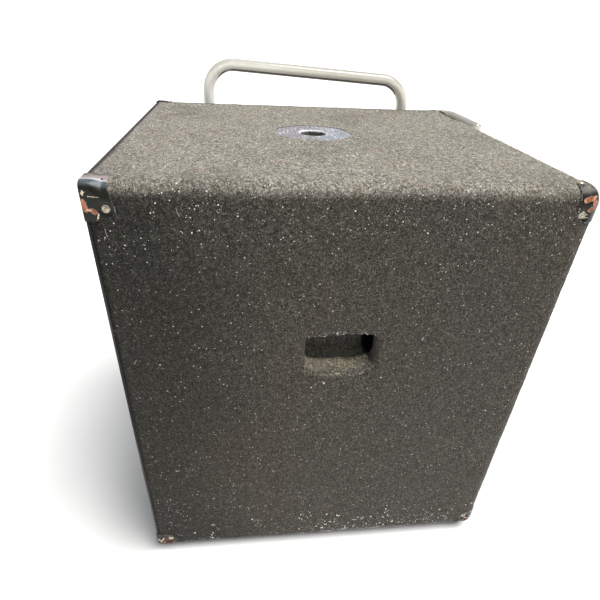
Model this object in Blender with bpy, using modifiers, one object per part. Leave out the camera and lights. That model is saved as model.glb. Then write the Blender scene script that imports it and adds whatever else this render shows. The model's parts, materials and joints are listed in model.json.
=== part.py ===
"""A carpet-covered 15-inch stage subwoofer, built as separate parts.

Metres, +Z up. The grille faces -Y, the hand slots are in the +X and -X sides, and a tube handle is
clamped to the -X side and the rear. Everything is placed in the cabinet's own frame: x = 0 and y = 0
are the middle of the cabinet and z = 0 is the underside of its carpet. One empty carries that frame,
so that the whole object's bounding box is centred over the origin with the feet standing on z = 0.
"""

import math

import bmesh
import bpy
from mathutils import Vector

# Cabinet
WIDTH = 0.493  # carpet to carpet, along X
DEPTH = 0.540  # grille face to rear carpet, along Y
HEIGHT = 0.603  # carpet to carpet, along Z, without the feet
EDGE_RADIUS = 0.020
CARPET = 0.003
PLY = 0.018
GAP = 0.0003  # clearance kept between parts that touch
FOOT_HEIGHT = 0.008
FOOT_RADIUS = 0.018
FOOT_INSET = 0.055
FOOT_TAPER = 0.003

# Front
GRILLE_EDGE = 0.003  # the folded edge of the grille stands this far in front of the carpet
SHEET = 0.0015
FOAM = 0.006
BAFFLE_RECESS = 0.030

# Corner protectors: how far each leg reaches along X, Y and Z from the sharp corner
CORNER_LEGS = Vector((0.028, 0.030, 0.038))
CORNER_PROUD = 0.0015
CORNER_LIP = 0.012  # width of a front protector's fold over the front edge
CORNER_FOLD = 0.004  # that fold stands this far in front of the carpet

# Hand slots, in both sides
SLOT_Y, SLOT_Z = -0.006, 0.3965
SLOT_HOLE = Vector((0.106, 0.074))  # in the plywood, along Y and Z
SLOT_MOUTH = Vector((0.098, 0.066))  # in the carpet
SLOT_RADIUS = 0.018
CUP_SIZE = Vector((0.060, 0.130, 0.098))
CUP_WALL = 0.003
CUP_RADIUS = 0.012

# Pole socket, in the top
POLE_X, POLE_Y = 0.0, -0.019
POLE_BORE = 0.01825  # radius, for a 35 mm pole
POLE_PLATE = 0.055
POLE_DEPTH = 0.085
POLE_WALL = 0.003
POLE_CHAMFER = 0.001

# Driver: radii, and heights in front of the baffle
DRIVER_Z = 0.3795
DRIVER_HOLE = 0.1775
FLANGE_RADIUS = 0.1965
FLANGE_TOP = 0.0053
BOLT_CIRCLE = 0.1905
BOLT_HOLE = 0.003
POLE_PIECE_RADIUS = 0.0362
FORMER_RADIUS = 0.0382
COIL_RADIUS = 0.0396
TOP_PLATE_TOP = -0.1053
TOP_PLATE = 0.008
MAGNET = 0.024
YOKE = 0.008
SPRING_EDGE = 0.1845  # outer radius of the surround and of the gasket
ROLL, ROLL_MIDDLE = 0.013, 0.1625  # the surround's half roll: its radius, and where it runs
SURROUND_INNER = 0.1455
GASKET_INNER, GASKET_TOP = 0.1762, 0.004
SPIDER_INNER, SPIDER_OUTER, SPIDER_EDGE = 0.0390, 0.0900, 0.1015
SPIDER_LEVEL, SPIDER_RIPPLE, SPIDER_CLOTH = -0.0794, 0.0035, 0.0008
BASKET_SHELF = -0.0825  # the basket's step under the spider
CONE_TOP, CONE_RADIUS, CONE_NECK = 0.0053, 0.1495, -0.0700
CAP_RADIUS, CAP_RISE, CAP_LEVEL, PAPER = 0.058, 0.020, -0.0550, 0.001
FORMER_TOP, FORMER_LOW = -0.0660, -0.1225
COIL_TOP, COIL_LOW = -0.0973, -0.1213
COIL_GAP = 0.0405  # inner radius of the top plate
YOKE_RADIUS, MAGNET_RADIUS, MAGNET_HOLE, VENT = 0.078, 0.095, 0.048, 0.012
BASKET_WINDOW = Vector((0.060, 0.046, 0.070))
BASKET_WINDOW_RADIUS, BASKET_WINDOW_DEPTH = 0.140, 0.052
STEPS = 32  # around the large turned parts
SMALL_STEPS = 20

# Ports
PORT_X, PORT_Z = 0.110, 0.089
PORT_RADIUS = 0.050
PORT_WALL = 0.0025
PORT_FLANGE = 0.058
PORT_LENGTH = 0.160
PORT_LIP = 0.004

# Rear connector plate
PLATE_Z = 0.360
PLATE_SIZE = Vector((0.150, 0.110))
DISH_SIZE = Vector((0.115, 0.075))
DISH_DEPTH = 0.036
DISH_WALL = 0.0025
PLATE_THICKNESS = 0.003
SOCKET_X = 0.026
SOCKET_HOLE = 0.0122
SOCKET_DEPTH = 0.026
SOCKET_PROFILE = [
    (0, -0.010),
    (0.0085, -0.010),
    (0.0085, 0.0023),
    (0.0155, 0.0023),
    (0.0155, GAP),
    (0.0118, GAP),
    (0.0118, -SOCKET_DEPTH),
    (0, -SOCKET_DEPTH),
]

# Inner parts
BRACE_Y = 0.120
BOARD_SIZE = Vector((0.140, 0.120, 0.003))
BOARD_Y = 0.010
LEAD_RADIUS = 0.003
COIL_HEIGHT, COIL_OUTER, COIL_INNER = 0.028, 0.030, 0.013
COIL_PLACE = Vector((-0.032, 0.018))  # from the board's middle
CAPACITOR_RADIUS, CAPACITOR_LENGTH = 0.014, 0.046
CAPACITOR_PLACE = Vector((0.040, 0.010))
TERMINAL_THICKNESS = 0.010
WADDING_SIZE = Vector((0.360, 0.030, 0.225))
WADDING_LOW = 0.045
BRACE_RIM, BRACE_RADIUS = 0.060, 0.030

# Tube handle
TUBE_RADIUS = 0.010
HANDLE_OFFSET = 0.0164  # tube axis to the side's carpet
STAY_OFFSET = 0.0140  # tube axis to the rear carpet
HANDLE_FRONT_Y, HANDLE_REAR_Y = -0.181, 0.188
HANDLE_FRONT_Z, HANDLE_REAR_Z = 0.6652, 0.6460  # where the leaning bar meets each leg
HANDLE_FOOT_Z = 0.430
HANDLE_BEND = 0.046
STAY_BEND = 0.030
STAY_START_Z, STAY_Z = 0.586, 0.591
STAY_END_X = -0.123
CAP_PROFILE = [(0, 0.007), (0.004, 0.0062), (0.0078, 0.004), (0.0097, GAP), (0, GAP)]
CLAMP_COVER = 0.002
CLAMP_WIDTH = 0.020
CLAMP_REACH = 0.018  # half a clamp's length across the tube
CLAMP_HEIGHTS = (0.455, 0.545)
STAY_CLAMP_X = -0.185
STAY_CLAMP_LOW, STAY_CLAMP_HIGH = 0.020, 0.004  # below and above the stay's axis

HALF_W, HALF_D = WIDTH / 2, DEPTH / 2
FRONT = -HALF_D + GRILLE_EDGE  # front edge of the panels and of the carpet
INNER_X = HALF_W - CARPET - PLY
INNER_LOW, INNER_HIGH = CARPET + PLY, HEIGHT - CARPET - PLY
INNER_REAR = HALF_D - CARPET - PLY
BAFFLE_FRONT = FRONT + BAFFLE_RECESS
HANDLE_X = -(HALF_W + HANDLE_OFFSET)
STAY_Y = HALF_D + STAY_OFFSET
HANDLE_REACH = HANDLE_OFFSET + TUBE_RADIUS + CLAMP_COVER
STAY_REACH = STAY_OFFSET + TUBE_RADIUS + CLAMP_COVER
COVER = 0.05  # how far a cutter runs past what it cuts

UP, FORWARD, BACKWARD, TO_RIGHT = (
    (0.0, 0.0, 0.0),
    (math.pi / 2, 0.0, 0.0),
    (-math.pi / 2, 0.0, 0.0),
    (0.0, math.pi / 2, 0.0),
)


# ---------------------------------------------------------------- scene and materials
def clear_scene():
    for obj in list(bpy.data.objects):
        bpy.data.objects.remove(obj, do_unlink=True)


def new_collection(name):
    collection = bpy.data.collections.new(name)
    bpy.context.scene.collection.children.link(collection)
    return collection


def material(name, color, roughness, metallic=0.0):
    made = bpy.data.materials.get(name)
    if made:
        return made
    made = bpy.data.materials.new(name)
    made.use_nodes = True
    made.diffuse_color = (*color, 1.0)
    shader = made.node_tree.nodes["Principled BSDF"]
    shader.inputs["Base Color"].default_value = (*color, 1.0)
    shader.inputs["Roughness"].default_value = roughness
    shader.inputs["Metallic"].default_value = metallic
    return made


def carpet_grey():
    return material("carpet_grey", (0.085, 0.078, 0.068), 0.95)


def plywood():
    return material("plywood", (0.50, 0.36, 0.21), 0.7)


def black_paint():
    return material("black_paint", (0.015, 0.015, 0.016), 0.5)


def black_steel():
    return material("black_steel", (0.03, 0.03, 0.032), 0.3, 0.8)


def zinc_steel():
    return material("zinc_steel", (0.50, 0.51, 0.55), 0.35, 0.9)


def cream_paint():
    return material("cream_paint", (0.68, 0.66, 0.58), 0.3)


def black_plastic():
    return material("black_plastic", (0.02, 0.02, 0.02), 0.45)


def black_rubber():
    return material("black_rubber", (0.02, 0.02, 0.02), 0.8)


def foam_black():
    return material("foam_black", (0.012, 0.012, 0.012), 1.0)


def paper_black():
    return material("paper_black", (0.03, 0.03, 0.03), 0.85)


def treated_cloth():
    return material("treated_cloth", (0.45, 0.30, 0.12), 0.85)


def copper():
    return material("copper", (0.72, 0.33, 0.16), 0.3, 1.0)


def aluminium():
    return material("aluminium", (0.75, 0.75, 0.76), 0.35, 1.0)


def ferrite():
    return material("ferrite", (0.05, 0.05, 0.055), 0.6, 0.2)


def circuit_board():
    return material("circuit_board", (0.25, 0.17, 0.08), 0.6)


def capacitor_blue():
    return material("capacitor_blue", (0.05, 0.12, 0.30), 0.4)


def red_jacket():
    return material("red_jacket", (0.35, 0.02, 0.02), 0.5)


def white_wadding():
    return material("white_wadding", (0.75, 0.74, 0.70), 1.0)


# ---------------------------------------------------------------- shapes
def add_object(name, data, finish=None, parent=None):
    """A new object under the parent's empty: a part if it has a finish, or else a hidden cutter."""
    obj = bpy.data.objects.new(name, data)
    obj.parent = parent or cabinet
    if finish:
        parts.objects.link(obj)
        data.materials.append(finish)
    else:
        cutters.objects.link(obj)
        obj.hide_render = True
        obj.display_type = "WIRE"
    return obj


def mesh_from(builder):
    data = bpy.data.meshes.new("mesh")
    builder.to_mesh(data)
    builder.free()
    return data


def box(name, low, high, finish=None, parent=None):
    low, high = Vector(low), Vector(high)
    builder = bmesh.new()
    bmesh.ops.create_cube(builder, size=1.0)
    bmesh.ops.scale(builder, vec=high - low, verts=builder.verts)
    obj = add_object(name, mesh_from(builder), finish, parent)
    obj.location = (low + high) / 2
    return obj


def rounded_prism(name, centre, size, radius, along, segments=4):
    """A box whose four edges along one axis (0, 1 or 2) are rounded."""
    builder = bmesh.new()
    bmesh.ops.create_cube(builder, size=1.0)
    bmesh.ops.scale(builder, vec=Vector(size), verts=builder.verts)
    edges = [
        edge
        for edge in builder.edges
        if abs((edge.verts[0].co - edge.verts[1].co)[along]) > size[along] / 2
    ]
    bmesh.ops.bevel(
        builder, geom=edges, offset=radius, segments=segments, profile=0.5, affect="EDGES"
    )
    obj = add_object(name, mesh_from(builder))
    obj.location = centre
    return obj


def cabinet_form(name, grow, front):
    """The cabinet's outside, grown by a distance: all edges are round but the four at the front."""
    low = Vector((-HALF_W - grow, front, -grow))
    high = Vector((HALF_W + grow, HALF_D + grow, HEIGHT + grow))
    builder = bmesh.new()
    bmesh.ops.create_cube(builder, size=1.0)
    bmesh.ops.scale(builder, vec=high - low, verts=builder.verts)
    edges = [
        edge for edge in builder.edges if max(vert.co.y for vert in edge.verts) > 0
    ]
    bmesh.ops.bevel(
        builder,
        geom=edges,
        offset=EDGE_RADIUS + grow,
        segments=4,
        profile=0.5,
        affect="EDGES",
        clamp_overlap=False,
    )
    obj = add_object(name, mesh_from(builder))
    obj.location = (low + high) / 2
    return obj


def cylinder(name, radius, length, centre, turn, segments=SMALL_STEPS, finish=None):
    builder = bmesh.new()
    bmesh.ops.create_cone(
        builder,
        cap_ends=True,
        segments=segments,
        radius1=radius,
        radius2=radius,
        depth=length,
    )
    obj = add_object(name, mesh_from(builder), finish)
    obj.location = centre
    obj.rotation_euler = turn
    return obj


def turned(name, profile, finish, centre, turn=UP, steps=STEPS, parent=None):
    """A turned part from (radius, height) points, down the outer side and back up the inner one."""
    on_axis = profile[0][0] == 0 and profile[-1][0] == 0
    data = bpy.data.meshes.new(name)
    count = len(profile)
    edges = [(i, i + 1) for i in range(count - 1)]
    if not on_axis:
        edges.append((count - 1, 0))
    data.from_pydata([(radius, 0, height) for radius, height in profile], edges, [])
    obj = add_object(name, data, finish, parent)
    obj.location = centre
    obj.rotation_euler = turn
    screw = obj.modifiers.new("turn", "SCREW")
    screw.axis = "Z"
    screw.angle = math.tau
    screw.steps = steps
    screw.render_steps = steps
    screw.use_merge_vertices = True
    screw.merge_threshold = 0.00001
    screw.use_smooth_shade = True
    return obj


def tube(name, points, radius, finish, resolution=2):
    curve = bpy.data.curves.new(name, "CURVE")
    curve.dimensions = "3D"
    curve.bevel_depth = radius
    curve.bevel_resolution = resolution
    curve.use_fill_caps = True
    spline = curve.splines.new("POLY")
    spline.points.add(len(points) - 1)
    for place, point in zip(spline.points, points):
        place.co = (*point, 1.0)
    return add_object(name, curve, finish)


def bent_path(corners, radius, steps=6):
    """Straight runs joined by arcs of one radius, as a tube bender makes them."""
    corners = [Vector(corner) for corner in corners]
    points = [corners[0]]
    for before, corner, after in zip(corners, corners[1:], corners[2:]):
        back = (before - corner).normalized()
        ahead = (after - corner).normalized()
        half = back.angle(ahead) / 2
        centre = corner + (back + ahead).normalized() * (radius / math.sin(half))
        start = (corner + back * (radius / math.tan(half)) - centre).normalized()
        end = (corner + ahead * (radius / math.tan(half)) - centre).normalized()
        points += [
            centre + start.slerp(end, i / steps) * radius for i in range(steps + 1)
        ]
    points.append(corners[-1])
    return points


def smooth_path(route, steps=3):
    """A smooth curve through the route's points."""
    route = [Vector(point) for point in route]
    padded = [route[0] * 2 - route[1], *route, route[-1] * 2 - route[-2]]
    points = []
    for a, b, c, d in zip(padded, padded[1:], padded[2:], padded[3:]):
        for step in range(steps):
            t = step / steps
            points.append(
                (
                    b * 2
                    + (c - a) * t
                    + (a * 2 - b * 5 + c * 4 - d) * t**2
                    + (b * 3 - a - c * 3 + d) * t**3
                )
                / 2
            )
    return [*points, route[-1]]


def combine(obj, other, operation):
    boolean = obj.modifiers.new(other.name, "BOOLEAN")
    boolean.operation = operation
    boolean.object = other
    boolean.solver = "EXACT"
    return obj


def cut(obj, *others):
    for other in others:
        combine(obj, other, "DIFFERENCE")
    return obj


# ---------------------------------------------------------------- cabinet
def hand_slot_cutter(name, side, size, radius):
    centre = (side * HALF_W, SLOT_Y, SLOT_Z)
    return rounded_prism(name, centre, (2 * COVER, *size), radius, along=0)


def rear_cutter():
    half = DISH_SIZE / 2
    half += Vector((2 * GAP, 2 * GAP))
    return box(
        "rear_plate_hole",
        (-half.x, HALF_D - COVER, PLATE_Z - half.y),
        (half.x, HALF_D + COVER, PLATE_Z + half.y),
    )


def make_carpet():
    form = cabinet_form("carpet_outside", 0.0, FRONT)
    carpet = add_object("carpet_covering", form.data.copy(), carpet_grey())
    carpet.location = form.location
    bpy.data.objects.remove(form)
    cut(carpet, cabinet_form("carpet_inside", GAP - CARPET, FRONT - COVER))
    mouth_radius = SLOT_RADIUS - (SLOT_HOLE.x - SLOT_MOUTH.x) / 2
    for side, word in ((1, "right"), (-1, "left")):
        cut(carpet, hand_slot_cutter(f"slot_mouth_{word}", side, SLOT_MOUTH, mouth_radius))
    top_hole = cylinder(
        "pole_plate_hole", POLE_PLATE + 2 * GAP, 2 * COVER, (POLE_X, POLE_Y, HEIGHT), UP, STEPS
    )
    cut(carpet, top_hole, rear_cutter_object)


def make_panels():
    blank = cabinet_form("plywood_outside", -CARPET, FRONT)
    for side, word in ((1, "right"), (-1, "left")):
        near, far = sorted((side * INNER_X, side * HALF_W))
        panel = box(
            f"side_panel_{word}", (near, -HALF_D, 0), (far, HALF_D, HEIGHT), plywood()
        )
        combine(panel, blank, "INTERSECT")
        cut(panel, hand_slot_cutter(f"slot_hole_{word}", side, SLOT_HOLE, SLOT_RADIUS))
    reach = INNER_X - GAP
    top = box(
        "top_panel", (-reach, -HALF_D, INNER_HIGH), (reach, HALF_D, HEIGHT), plywood()
    )
    combine(top, blank, "INTERSECT")
    pole_hole = cylinder(
        "pole_cup_hole",
        POLE_BORE + POLE_WALL + 2 * GAP,
        2 * COVER,
        (POLE_X, POLE_Y, HEIGHT),
        UP,
    )
    cut(top, pole_hole)
    bottom = box("bottom_panel", (-reach, -HALF_D, 0), (reach, HALF_D, INNER_LOW), plywood())
    combine(bottom, blank, "INTERSECT")
    low, high = INNER_LOW + GAP, INNER_HIGH - GAP
    rear = box(
        "rear_panel", (-reach, INNER_REAR, low), (reach, HALF_D - CARPET, high), plywood()
    )
    cut(rear, rear_cutter_object)
    brace = box(
        "cross_brace", (-reach, BRACE_Y, low), (reach, BRACE_Y + PLY, high), plywood()
    )
    window = (2 * (reach - BRACE_RIM), 4 * PLY, high - low - 2 * BRACE_RIM)
    centre = (0, BRACE_Y + PLY / 2, (low + high) / 2)
    cut(brace, rounded_prism("brace_window", centre, window, BRACE_RADIUS, along=1))


def make_baffle():
    reach, low, high = INNER_X - GAP, INNER_LOW + GAP, INNER_HIGH - GAP
    baffle = box(
        "baffle", (-reach, BAFFLE_FRONT, low), (reach, BAFFLE_FRONT + PLY, high), black_paint()
    )
    cut(
        baffle,
        cylinder(
            "driver_hole", DRIVER_HOLE, 2 * COVER, (0, BAFFLE_FRONT, DRIVER_Z), FORWARD, STEPS
        ),
    )
    for side, word in ((1, "right"), (-1, "left")):
        centre = (side * PORT_X, BAFFLE_FRONT, PORT_Z)
        cut(
            baffle,
            cylinder(
                f"port_hole_{word}", PORT_RADIUS + 2 * GAP, 2 * COVER, centre, FORWARD, STEPS
            ),
        )
    return baffle


def make_hand_cups():
    """Boxes that close the hand slots towards the inside, open at the slot."""
    for side, word in ((1, "right"), (-1, "left")):
        mouth = side * (INNER_X - GAP)
        floor = mouth - side * CUP_SIZE.x
        half_y, half_z = CUP_SIZE.y / 2, CUP_SIZE.z / 2
        near, far = sorted((mouth, floor))
        cup = box(
            f"hand_cup_{word}",
            (near, SLOT_Y - half_y, SLOT_Z - half_z),
            (far, SLOT_Y + half_y, SLOT_Z + half_z),
            black_plastic(),
        )
        inside = (2 * (CUP_SIZE.x - CUP_WALL), CUP_SIZE.y - 2 * CUP_WALL)
        hollow = rounded_prism(
            f"cup_hollow_{word}",
            (mouth, SLOT_Y, SLOT_Z),
            (*inside, CUP_SIZE.z - 2 * CUP_WALL),
            CUP_RADIUS,
            along=0,
            segments=2,
        )
        cut(cup, hollow)


def make_pole_socket():
    """A steel plate in the carpet with a closed cup under it."""
    outer = POLE_BORE + POLE_WALL
    seat = -CARPET + GAP
    profile = [
        (0, -POLE_DEPTH + POLE_WALL),
        (POLE_BORE, -POLE_DEPTH + POLE_WALL),
        (POLE_BORE, 0.0),
        (POLE_PLATE - POLE_CHAMFER, 0.0),
        (POLE_PLATE, -POLE_CHAMFER),
        (POLE_PLATE, seat),
        (outer, seat),
        (outer, -POLE_DEPTH),
        (0, -POLE_DEPTH),
    ]
    turned("pole_socket", profile, zinc_steel(), (POLE_X, POLE_Y, HEIGHT))


def make_feet():
    profile = [
        (0, -GAP),
        (FOOT_RADIUS, -GAP),
        (FOOT_RADIUS - FOOT_TAPER, -FOOT_HEIGHT),
        (0, -FOOT_HEIGHT),
    ]
    for row, y in (("front", FRONT + FOOT_INSET), ("rear", HALF_D - FOOT_INSET)):
        for word, side in (("left", -1), ("right", 1)):
            place = (side * (HALF_W - FOOT_INSET), y, 0)
            turned(f"foot_{row}_{word}", profile, black_rubber(), place, steps=SMALL_STEPS)


def corner_box(name, signs, legs, front, finish=None):
    """A box that reaches from just outside one corner of the cabinet along its three edges."""
    corner = Vector((signs[0] * HALF_W, HALF_D if signs[1] > 0 else FRONT, 0))
    corner.z = HEIGHT if signs[2] > 0 else 0
    outside = Vector((COVER, front, COVER)) if signs[1] < 0 else Vector((COVER, COVER, COVER))
    ends = [
        (corner[i] + signs[i] * outside[i], corner[i] - signs[i] * legs[i]) for i in range(3)
    ]
    low = [min(pair) for pair in ends]
    high = [max(pair) for pair in ends]
    return box(name, low, high, finish)


def corner_signs():
    for row, y in (("front", -1), ("rear", 1)):
        for level, z in (("top", 1), ("bottom", -1)):
            for word, x in (("left", -1), ("right", 1)):
                yield f"{row}_{level}_{word}", (x, y, z)


def make_corners():
    outside = cabinet_form("protector_outside", CORNER_PROUD, FRONT - CORNER_FOLD)
    inside = cabinet_form("protector_inside", GAP, FRONT - GAP)
    for word, signs in corner_signs():
        corner = corner_box(f"corner_{word}", signs, CORNER_LEGS, COVER, black_steel())
        combine(corner, outside, "INTERSECT")
        cut(corner, inside)
        if signs[1] < 0:
            lip_legs = Vector((2 * COVER, -GAP / 2, 2 * COVER))
            window = corner_box(f"lip_window_{word}", signs, lip_legs, COVER)
            window.location.x -= signs[0] * (COVER + CORNER_LIP)
            window.location.z -= signs[2] * (COVER + CORNER_LIP)
            cut(corner, window)


# ---------------------------------------------------------------- front
def make_grille():
    """A folded steel tray over the whole front, notched for the corner protectors."""
    grille = box(
        "grille", (-HALF_W, -HALF_D, 0), (HALF_W, FRONT - GAP, HEIGHT), black_steel()
    )
    hollow = box(
        "grille_hollow",
        (-HALF_W + SHEET, -HALF_D + SHEET, SHEET),
        (HALF_W - SHEET, COVER - HALF_D, HEIGHT - SHEET),
    )
    cut(grille, hollow)
    lip = CORNER_LIP + 2 * GAP
    for word, signs in corner_signs():
        if signs[1] > 0:
            continue
        upright = Vector((lip, COVER, CORNER_LEGS.z + 2 * GAP))
        level = Vector((CORNER_LEGS.x + 2 * GAP, COVER, lip))
        cut(
            grille,
            corner_box(f"notch_upright_{word}", signs, upright, COVER),
            corner_box(f"notch_level_{word}", signs, level, COVER),
        )


def make_foam():
    play = 0.001
    reach = INNER_X - play
    start = -HALF_D + SHEET + GAP
    box(
        "grille_foam",
        (-reach, start, INNER_LOW + play),
        (reach, start + FOAM, INNER_HIGH - play),
        foam_black(),
    )


def make_ports():
    profile = [
        (PORT_FLANGE, PORT_LIP),
        (PORT_FLANGE, GAP),
        (PORT_RADIUS, GAP),
        (PORT_RADIUS, -PORT_LENGTH),
        (PORT_RADIUS - PORT_WALL, -PORT_LENGTH),
        (PORT_RADIUS - PORT_WALL, -PORT_LIP),
        (PORT_RADIUS, PORT_LIP / 2),
        (PORT_RADIUS + PORT_WALL, PORT_LIP),
    ]
    for side, word in ((1, "right"), (-1, "left")):
        place = (side * PORT_X, BAFFLE_FRONT, PORT_Z)
        turned(f"port_tube_{word}", profile, black_plastic(), place, FORWARD)


# ---------------------------------------------------------------- driver
def driver_part(name, profile, finish):
    return turned(name, profile, finish, (0, 0, 0), FORWARD, parent=driver_axis)


def make_basket():
    sheet = 0.003
    seat = TOP_PLATE_TOP + GAP
    profile = [
        (FLANGE_RADIUS, FLANGE_TOP),
        (FLANGE_RADIUS, GAP),
        (DRIVER_HOLE - 0.001, GAP),
        (DRIVER_HOLE - 0.003, -0.022),
        (0.104, BASKET_SHELF),
        (0.092, BASKET_SHELF),
        (0.084, seat),
        (0.055, seat),
        (0.055, seat + sheet),
        (0.0815, seat + sheet),
        (0.0895, SPIDER_LEVEL - GAP),
        (0.1025, SPIDER_LEVEL - GAP),
        (0.172, -0.0205),
        (0.1735, 0.0025),
        (0.1735, FLANGE_TOP),
    ]
    basket = driver_part("basket", profile, black_steel())
    windows = 6
    for i in range(windows):
        angle = (i + 0.5) / windows * math.tau
        window = rounded_prism(
            f"basket_window_{i + 1}", (0, 0, 0), BASKET_WINDOW, 0.006, along=0, segments=1
        )
        window.location = (
            math.cos(angle) * BASKET_WINDOW_RADIUS,
            BAFFLE_FRONT + BASKET_WINDOW_DEPTH,
            DRIVER_Z + math.sin(angle) * BASKET_WINDOW_RADIUS,
        )
        window.rotation_euler = (0, -angle, 0)
        cut(basket, window)
    return basket


def make_soft_suspension():
    """The half-roll surround, the gasket over its edge, and the corrugated spider."""
    low, thick, bends = FLANGE_TOP + GAP, 0.001, 5
    over = [math.pi * i / bends for i in range(bends + 1)]

    def arc(radius, rise):
        return [
            (ROLL_MIDDLE + radius * math.cos(a), low + rise + radius * math.sin(a)) for a in over
        ]

    profile = [
        (SPRING_EDGE, low + thick),
        (SPRING_EDGE, low),
        *arc(ROLL - thick, 0.0),
        (SURROUND_INNER, low),
        (SURROUND_INNER, low + thick),
        *reversed(arc(ROLL, thick)),
    ]
    driver_part("surround", profile, black_rubber())
    seat = low + thick + GAP
    gasket = [
        (SPRING_EDGE, seat + GASKET_TOP),
        (SPRING_EDGE, seat),
        (GASKET_INNER, seat),
        (GASKET_INNER, seat + GASKET_TOP),
    ]
    driver_part("gasket", gasket, black_rubber())

    count = 8
    step = (SPIDER_OUTER - SPIDER_INNER) / count
    ripple = [
        (SPIDER_INNER + step * i, SPIDER_LEVEL + SPIDER_RIPPLE * (i % 2)) for i in range(count + 1)
    ]
    under = [(SPIDER_EDGE, SPIDER_LEVEL), *reversed(ripple)]
    above = [(radius, level + SPIDER_CLOTH) for radius, level in reversed(under)]
    driver_part("spider", [*under, *above], treated_cloth())


def make_moving_parts():
    neck = FORMER_RADIUS + 0.0006
    cone = [
        (CONE_RADIUS, CONE_TOP),
        (CONE_RADIUS, CONE_TOP - 0.0012),
        (neck + 0.0012, CONE_NECK),
        (neck, CONE_NECK),
        (neck, CONE_NECK + PAPER),
        (CONE_RADIUS - 0.002, CONE_TOP),
    ]
    driver_part("cone", cone, paper_black())
    bends = 5
    arc = [i / bends * math.pi / 2 for i in range(bends + 1)]

    def dome(inset):
        return [
            ((CAP_RADIUS - inset) * math.sin(a), CAP_LEVEL + (CAP_RISE - inset) * math.cos(a))
            for a in arc
        ]

    driver_part("dust_cap", [*dome(0.0), *reversed(dome(PAPER))], paper_black())
    former = [
        (FORMER_RADIUS, FORMER_TOP),
        (FORMER_RADIUS, FORMER_LOW),
        (FORMER_RADIUS - 0.001, FORMER_LOW),
        (FORMER_RADIUS - 0.001, FORMER_TOP),
    ]
    driver_part("former", former, aluminium())
    inside = FORMER_RADIUS + 0.0002
    coil = [
        (COIL_RADIUS, COIL_TOP),
        (COIL_RADIUS, COIL_LOW),
        (inside, COIL_LOW),
        (inside, COIL_TOP),
    ]
    driver_part("voice_coil", coil, copper())


def make_motor():
    top, low = TOP_PLATE_TOP, TOP_PLATE_TOP - TOP_PLATE
    plate = [(YOKE_RADIUS, top), (YOKE_RADIUS, low), (COIL_GAP, low), (COIL_GAP, top)]
    driver_part("top_plate", plate, zinc_steel())
    top, low = low - GAP, low - GAP - MAGNET
    ring = [(MAGNET_RADIUS, top), (MAGNET_RADIUS, low), (MAGNET_HOLE, low), (MAGNET_HOLE, top)]
    driver_part("magnet_ring", ring, ferrite())
    top, low = low - GAP, low - GAP - YOKE
    yoke = [
        (POLE_PIECE_RADIUS, TOP_PLATE_TOP),
        (POLE_PIECE_RADIUS, top),
        (YOKE_RADIUS, top),
        (YOKE_RADIUS, low),
        (VENT, low),
        (VENT, TOP_PLATE_TOP),
    ]
    driver_part("pole_piece", yoke, zinc_steel())


def make_terminal_strip():
    shelf = BAFFLE_FRONT - BASKET_SHELF + GAP
    box(
        "terminal_strip",
        (-0.016, shelf, DRIVER_Z - 0.110),
        (0.016, shelf + TERMINAL_THICKNESS, DRIVER_Z - 0.0935),
        circuit_board(),
    )


def make_driver_bolts(basket, baffle):
    head, shank, length, height = 0.005, 0.0027, 0.030, 0.0035
    seat = FLANGE_TOP + GAP
    profile = [
        (0, seat + height),
        (head - 0.001, seat + height),
        (head, seat + height - 0.0015),
        (head, seat),
        (shank, seat),
        (shank, seat - length),
        (0, seat - length),
    ]
    bolts = 4
    for i in range(bolts):
        angle = (i + 0.5) / bolts * math.tau
        x = math.cos(angle) * BOLT_CIRCLE
        z = DRIVER_Z + math.sin(angle) * BOLT_CIRCLE
        place = (x, BAFFLE_FRONT, z)
        turned(f"driver_bolt_{i + 1}", profile, zinc_steel(), place, FORWARD, steps=12)
        hole = cylinder(f"bolt_hole_{i + 1}", BOLT_HOLE, 2 * COVER, place, FORWARD, 12)
        cut(basket, hole)
        cut(baffle, hole)


# ---------------------------------------------------------------- rear and inside
def make_connector_plate():
    """A dished plate on the rear with two round sockets in its floor."""
    half = PLATE_SIZE / 2
    outer = HALF_D + GAP
    plate = box(
        "connector_plate",
        (-half.x, outer, PLATE_Z - half.y),
        (half.x, outer + PLATE_THICKNESS, PLATE_Z + half.y),
        black_plastic(),
    )
    half = DISH_SIZE / 2
    floor = outer - DISH_DEPTH
    shell = box(
        "dish_outside",
        (-half.x, floor, PLATE_Z - half.y),
        (half.x, outer + PLATE_THICKNESS / 3, PLATE_Z + half.y),
    )
    combine(plate, shell, "UNION")
    inner = floor + DISH_WALL
    hollow = box(
        "dish_inside",
        (-half.x + DISH_WALL, inner, PLATE_Z - half.y + DISH_WALL),
        (half.x - DISH_WALL, outer + COVER, PLATE_Z + half.y - DISH_WALL),
    )
    cut(plate, hollow)
    for side, word in ((-1, "left"), (1, "right")):
        place = (side * SOCKET_X, inner, PLATE_Z)
        turned(
            f"input_socket_{word}", SOCKET_PROFILE, black_plastic(), place, BACKWARD, SMALL_STEPS
        )
        cut(plate, cylinder(f"socket_hole_{word}", SOCKET_HOLE, COVER, place, FORWARD))
    return inner


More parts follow.
